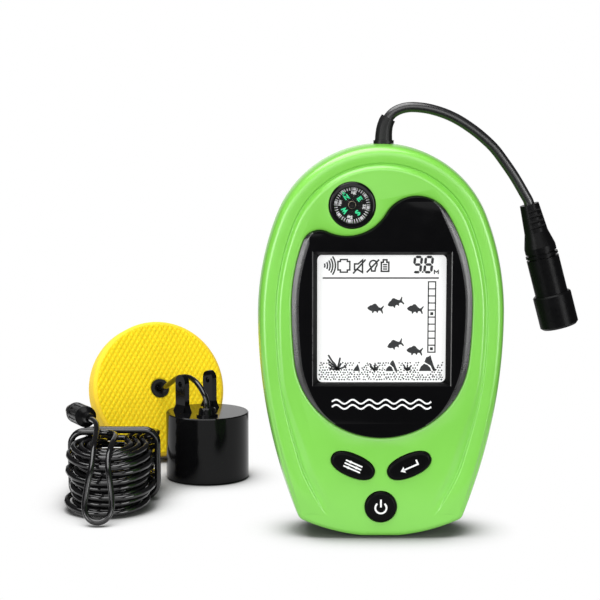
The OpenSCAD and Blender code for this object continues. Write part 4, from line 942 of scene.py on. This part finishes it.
def hank_point(t):
    """Point of the hank after t loops."""
    layer = min(HANK_LAYERS - 1, math.floor(t / HANK_LOOPS + 1e-6))
    s = t - layer * HANK_LOOPS
    climb = ease(s * 4) - 1 if layer else 0
    level = layer + climb
    run = HANK_RUN - HANK_TAPER * level
    inner = HANK_HALF - HANK_STEP * HANK_LOOPS
    late = HANK_STEP * max(0, s - 0.25)
    half = (HANK_HALF - HANK_STEP * s if layer == 0 else inner + late if layer % 2
            else inner + HANK_STEP * (HANK_LOOPS - 0.25) - late)
    quarter = (t - math.floor(t + 1e-6)) * 4
    q = math.floor(quarter + 1e-6)
    f = quarter - q
    if q % 2:
        u, v = run + half * sin(pi * f), half * cos(pi * f)
    else:
        u = run * (2 * f - 1)
        v = half - HANK_WAIST * (1 + cos(pi * u / run)) / 2
    if q > 1:
        u, v = -u, -v
    u, v = turned((u, v), fan(layer) + climb * (fan(layer) - fan(layer - 1)))
    far = min(1, abs(u) / (HANK_RUN + HANK_HALF)) ** 2
    rise = (HANK_LAYER + HANK_DOME * (1 - far)) * level
    return HANK_AT + Vector((-v, -u, HANK_LOW + rise - HANK_DROP * far))


def wrap_points():
    """Two turns of the cable round the middle of the hank."""
    half, low, clear, r, step, start = 17.2, 1.2, 2.85, 5.2, 3, 2.6
    top = HANK_LOW + (HANK_LAYER + HANK_DOME) * (HANK_LAYERS - 1) + clear
    mid, h, w = (top + low) / 2, (top - low) / 2 - r, half - r
    out = []
    for turn in range(2):
        for q, (cx, cz) in enumerate(((w, h), (w, -h), (-w, -h), (-w, h))):
            for g in (k / 8 for k in range(9)):
                x, z = on_circle((cx, mid + cz), r, 90 - 90 * (q + g))
                out.append(HANK_AT + Vector((x, start - step * (turn + (q + g) / 4), z)))
    return out


SENSOR_AT, SENSOR_TURN = (-68.9, 85), 45
GLAND_AT, GLAND_TOP = (-6.4, -7.1), 31.6
BIGHT_X = -106
PLUG_FROM = Vector((-114.8, 55, 30.9))
PLUG_AXIS = Vector((-0.32, 0.94, -0.1)).normalized()


def make_cable():
    """From the gland over and through the float, along the floor into the hank, round it, and to the plug."""
    x, y = turned(GLAND_AT, SENSOR_TURN)
    gland = Vector((SENSOR_AT[0] + x, SENSOR_AT[1] + y, GLAND_TOP))
    front, back = FLOAT_MID + FLOAT_HALF * FLOAT_AXIS, FLOAT_MID - FLOAT_HALF * FLOAT_AXIS
    hank = [hank_point(i / LOOP_STEPS) for i in range(HANK_LAYERS * HANK_LOOPS * LOOP_STEPS + 1)]
    run = [gland - Vector((0, 0, h)) for h in (9, 4.5, 2, 0)]
    run += [(-68.6, 75.6, 33.7), (-69.3, 76.3, 35.9), (-70.5, 77.8, 38), (-72.1, 80.2, 39.9),
            (-74.2, 83.8, 41.4), (-77.6, 89.4, 42), (-82.2, 97.6, 40.1), front + 10 * FLOAT_AXIS, front, back,
            back - 8 * FLOAT_AXIS, (-104, 146, 22), (-111, 149, 15), (-117, 144, 8.5), (-119.6, 134, 4),
            (-120.4, 122, 1.8), (-120.6, 108, 1.4), (-120.8, 94, 1.4), (-120.9, 80, 2),
            hank[0] - 5 * (hank[2] - hank[0]).normalized(), hank[0]]
    start = [hank[-1], (-119.6, 55.4, 24.8), (-119, 52.8, 25.6), (-117.4, 50.6, 26.7), (-115, 49.1, 27.6),
             (-112, 48.7, 27.9)]
    down = [(-102.8, 13, 20.6), (-102, 10.6, 16.4), (-101.2, 8.6, 11.4), (-100.8, 6.6, 7.2), (-101.5, 5, 4.2),
            (-103.4, 3.9, 2.2)]
    bight = [(-108.5, 42.4, 27.9), (-105.4, 41.4, 27.9), (-103.2, 39, 27.9), (-102.3, 35.6, 27.9),
             (-102.3, 31, 27.6), (-102.5, 26, 27.1), (-102.8, 21.4, 26), (-103, 16.6, 23.8), *down,
             (BIGHT_X, 3.4, 1.5), *((2 * BIGHT_X - x, y, z) for x, y, z in reversed(down)), (-109, 16.6, 24),
             (-109.2, 21.4, 26.6), (-109.4, 27, 28.2), (-109.6, 33, 29.6), (-110, 38, 30.8),
             (-110.8, 43, 31.5), (-112.4, 48, 31.6), (-113.8, 51.6, 31.3), PLUG_FROM - PLUG_AXIS,
             PLUG_FROM + 2 * PLUG_AXIS]
    points = (smooth_path(run, 6) + hank[1:] + smooth_path(start, 4)[1:] + wrap_points()
              + smooth_path(bight, 4))
    cable = tube("sensor_cord", points, CABLE_D, "cord", "sensor",
                 ["sensor_cable", "cable_hank", "cable_tail"])
    length = sum(math.dist(p, q) for p, q in zip(points, points[1:])) * MM


# Foam float with embossed diamonds on both faces, and painted shade in the grooves between them

def make_float():
    level = Vector((*turned((1, 0), FLOAT_YAW), 0))
    up = FLOAT_AXIS.cross(level)

    def place(p):
        return FLOAT_MID + level * p[0] + up * p[1] + FLOAT_AXIS * p[2]
    face, edge, bore, bore_edge, face_radii, count = 5.62, 1.9, 4.12, 0.3, (4.5, 12, 22), 128
    corner = [on_circle((FLOAT_R - edge, face - edge), edge, 90 - 15 * k) for k in range(7)]
    side = corner + [(FLOAT_R, 0)] + [(r, -h) for r, h in reversed(corner)]
    profile = [(bore, bore_edge - face), (bore, face - bore_edge)] + [(r, face) for r in face_radii]
    rim_rows = range(len(profile), len(profile) + len(side) - 1)
    profile += side + [(r, -face) for r in reversed(face_radii)]
    verts, faces = lathe(profile, place, count, True)
    plain, rim, groove = range(3)
    marks = [rim if i // count in rim_rows else plain for i in range(len(faces))]
    wide, tall, steps, proud, start, end, faded = 2.4, 3.5, 6, 0.3, 4.4, 28.7, 28.9
    span = int(FLOAT_R / wide + FLOAT_R / tall) * steps
    for flip in (1, -1):
        index, base = {}, len(verts)
        for i in range(-span, span + 1):
            for j in range(-span, span + 1):
                x, y = wide / 2 * (i + j) / steps, tall / 2 * (i - j) / steps
                r = math.hypot(x, y)
                if not start < r < end:
                    continue
                pillow = 1 - max(abs((i % steps) / steps * 2 - 1), abs((j % steps) / steps * 2 - 1)) ** 2.2
                h = face + 0.01 + proud * pillow * min(1, faded - r)
                index[i, j] = base + len(index)
                verts.append(place((x, y, flip * h)))
        for i, j in index:
            corners = [(i, j), (i + 1, j), (i + 1, j + 1), (i, j + 1)]
            if all(c in index for c in corners):
                faces.append(tuple(index[c] for c in (corners if flip > 0 else reversed(corners))))
                # Faces along the grooves take the darker finish, a painted shade
                marks.append(groove if {i % steps, j % steps} & {0, steps - 1} else plain)
    foam = piece("float_foam", (verts, faces), ["foam", "foam_rim", "foam_groove"], "float",
                 ["float_disc"], 60, marks)


# Light and floor

def combined(tree, operation, a, b):
    out = wired(tree, "Math", [a, b])
    out.node.operation = operation
    return out


def mixed_shader(tree, share, first, second):
    return wired(tree, "MixShader", [share, first, second])


def seen(tree, path, mirrored):
    """1 for what is seen directly, through glass or in a mirror."""
    direct = combined(tree, "MAXIMUM", path["Is Camera Ray"], path["Is Transmission Ray"])
    return combined(tree, "MAXIMUM", direct, mirrored)


def white_light(tree, kind, strength):
    return wired(tree, kind, settings=(("Color", (1, 1, 1, 1)), ("Strength", strength)))


def diffuse(tree, grey):
    return wired(tree, "BsdfDiffuse", settings=[("Color", (grey, grey, grey, 1))])


# Each lamp: place, width and height, and power
LAMPS = {
    "left_box": ((-0.83, -0.8, 0.17), (0.46, 0.7), 5.6),
    "right_box": ((0.79, -0.8, 0.17), (0.46, 0.7), 5.6),
    "top_box": ((-0.25, -0.05, 1.1), (1.3, 0.9), 17),
    "front_fill": ((-0.05, -1.2, 0.5), (1.2, 0.8), 6),
}
LAMP_AIM = (-0.02, 0.02, 0.07)
ROOM_LIGHT, ROOM_MIRRORED = 0.22, 0.06
BEHIND_FROM, BEHIND_FULL = 0.88, 0.99


def make_stage():
    """White backdrop behind the object, a dim room in front of it, and three soft boxes and a fill light."""
    scene = bpy.context.scene
    world = scene.world or bpy.data.worlds.new("world")
    scene.world = world
    world.use_nodes = True
    world.cycles.sampling_method = "NONE"
    tree = world.node_tree
    tree.nodes.clear()
    path = tree.nodes.new("ShaderNodeLightPath").outputs
    way = tree.nodes.new("ShaderNodeSeparateXYZ")
    tree.links.new(tree.nodes.new("ShaderNodeTexCoord").outputs["Generated"], way.inputs[0])
    behind = spread(tree, way.outputs["Y"], 0, 1, BEHIND_FROM, BEHIND_FULL)
    mirrored = combined(tree, "MULTIPLY", path["Is Glossy Ray"], behind)
    dim, darker, white = (white_light(tree, "Background", level)
                          for level in (ROOM_LIGHT, ROOM_MIRRORED, 1.0))
    room = mixed_shader(tree, path["Is Glossy Ray"], dim, darker)
    out = tree.nodes.new("ShaderNodeOutputWorld")
    tree.links.new(mixed_shader(tree, seen(tree, path, mirrored), room, white), out.inputs["Surface"])
    for name, (place, size, power) in LAMPS.items():
        data = bpy.data.lights.new(name, "AREA")
        data.shape = "RECTANGLE"
        data.size, data.size_y = size
        data.energy = power
        aim(linked(name, data), place, LAMP_AIM)
    make_floor()


# Greys of the floor: where it is out of view, painted shade under the pieces, and as a table
HIDDEN_GREY, PAINTED_SHADE_GREY, TABLE_GREY, TABLE_LIFT = 0.32, 0.2, 0.56, 0.14
FAR_REACH, PAINTED_SHADE_REACH = 0.026, 0.018


def openness(tree, reach, start, end):
    """A value that grows with how open the floor is to the room within a short reach of each point."""
    sky = tree.nodes.new("ShaderNodeAmbientOcclusion")
    sky.samples = 24
    sky.inputs["Distance"].default_value = reach
    return spread(tree, sky.outputs["AO"], 0.0, 1.0, start, end)


def make_floor():
    """Pale table top that keeps the shadows near each piece that stands on it, adds painted shade close under
    it, and is white elsewhere.
    """
    (x, y), (wide, deep), z, n = (-120, 50), (300, 160), -0.2, 96
    rings = [[(x + wide * u, y + deep * v, z) for u, v in arc((0, 0), f, 0, 360, n)]
             for f in (0.1, 0.4, 0.7, 1)]
    floor = mesh_object("floor", *loft(rings, (True, False)))
    mat = bpy.data.materials.new("floor_pale")
    mat.use_nodes = True
    tree = mat.node_tree
    tree.nodes.clear()
    path = tree.nodes.new("ShaderNodeLightPath").outputs
    far = openness(tree, FAR_REACH, 0.5, 0.92)
    # Painted shade: where a piece stands close, ambient occlusion turns the table a darker grey, beyond its
    # real shadow
    clear_of_painted_shade = openness(tree, PAINTED_SHADE_REACH, 0.4, 0.95)
    lift = white_light(tree, "Emission", TABLE_LIFT)
    table = wired(tree, "AddShader", [diffuse(tree, TABLE_GREY), lift])
    table = mixed_shader(tree, clear_of_painted_shade, diffuse(tree, PAINTED_SHADE_GREY), table)
    shown = mixed_shader(tree, far, table, white_light(tree, "Emission", 1.0))
    out = tree.nodes.new("ShaderNodeOutputMaterial")
    in_view = seen(tree, path, path["Is Glossy Ray"])
    tree.links.new(mixed_shader(tree, in_view, diffuse(tree, HIDDEN_GREY), shown), out.inputs["Surface"])
    floor.data.materials.append(mat)


make_camera()
make_lead()
make_cable()
dress_nodes()
make_front_shell()
make_rear_shell()
make_bezel()
make_keys()
make_screen()
make_prints()
make_compass()
make_float()
make_stage()
bpy.context.scene.view_settings.view_transform = "Standard"
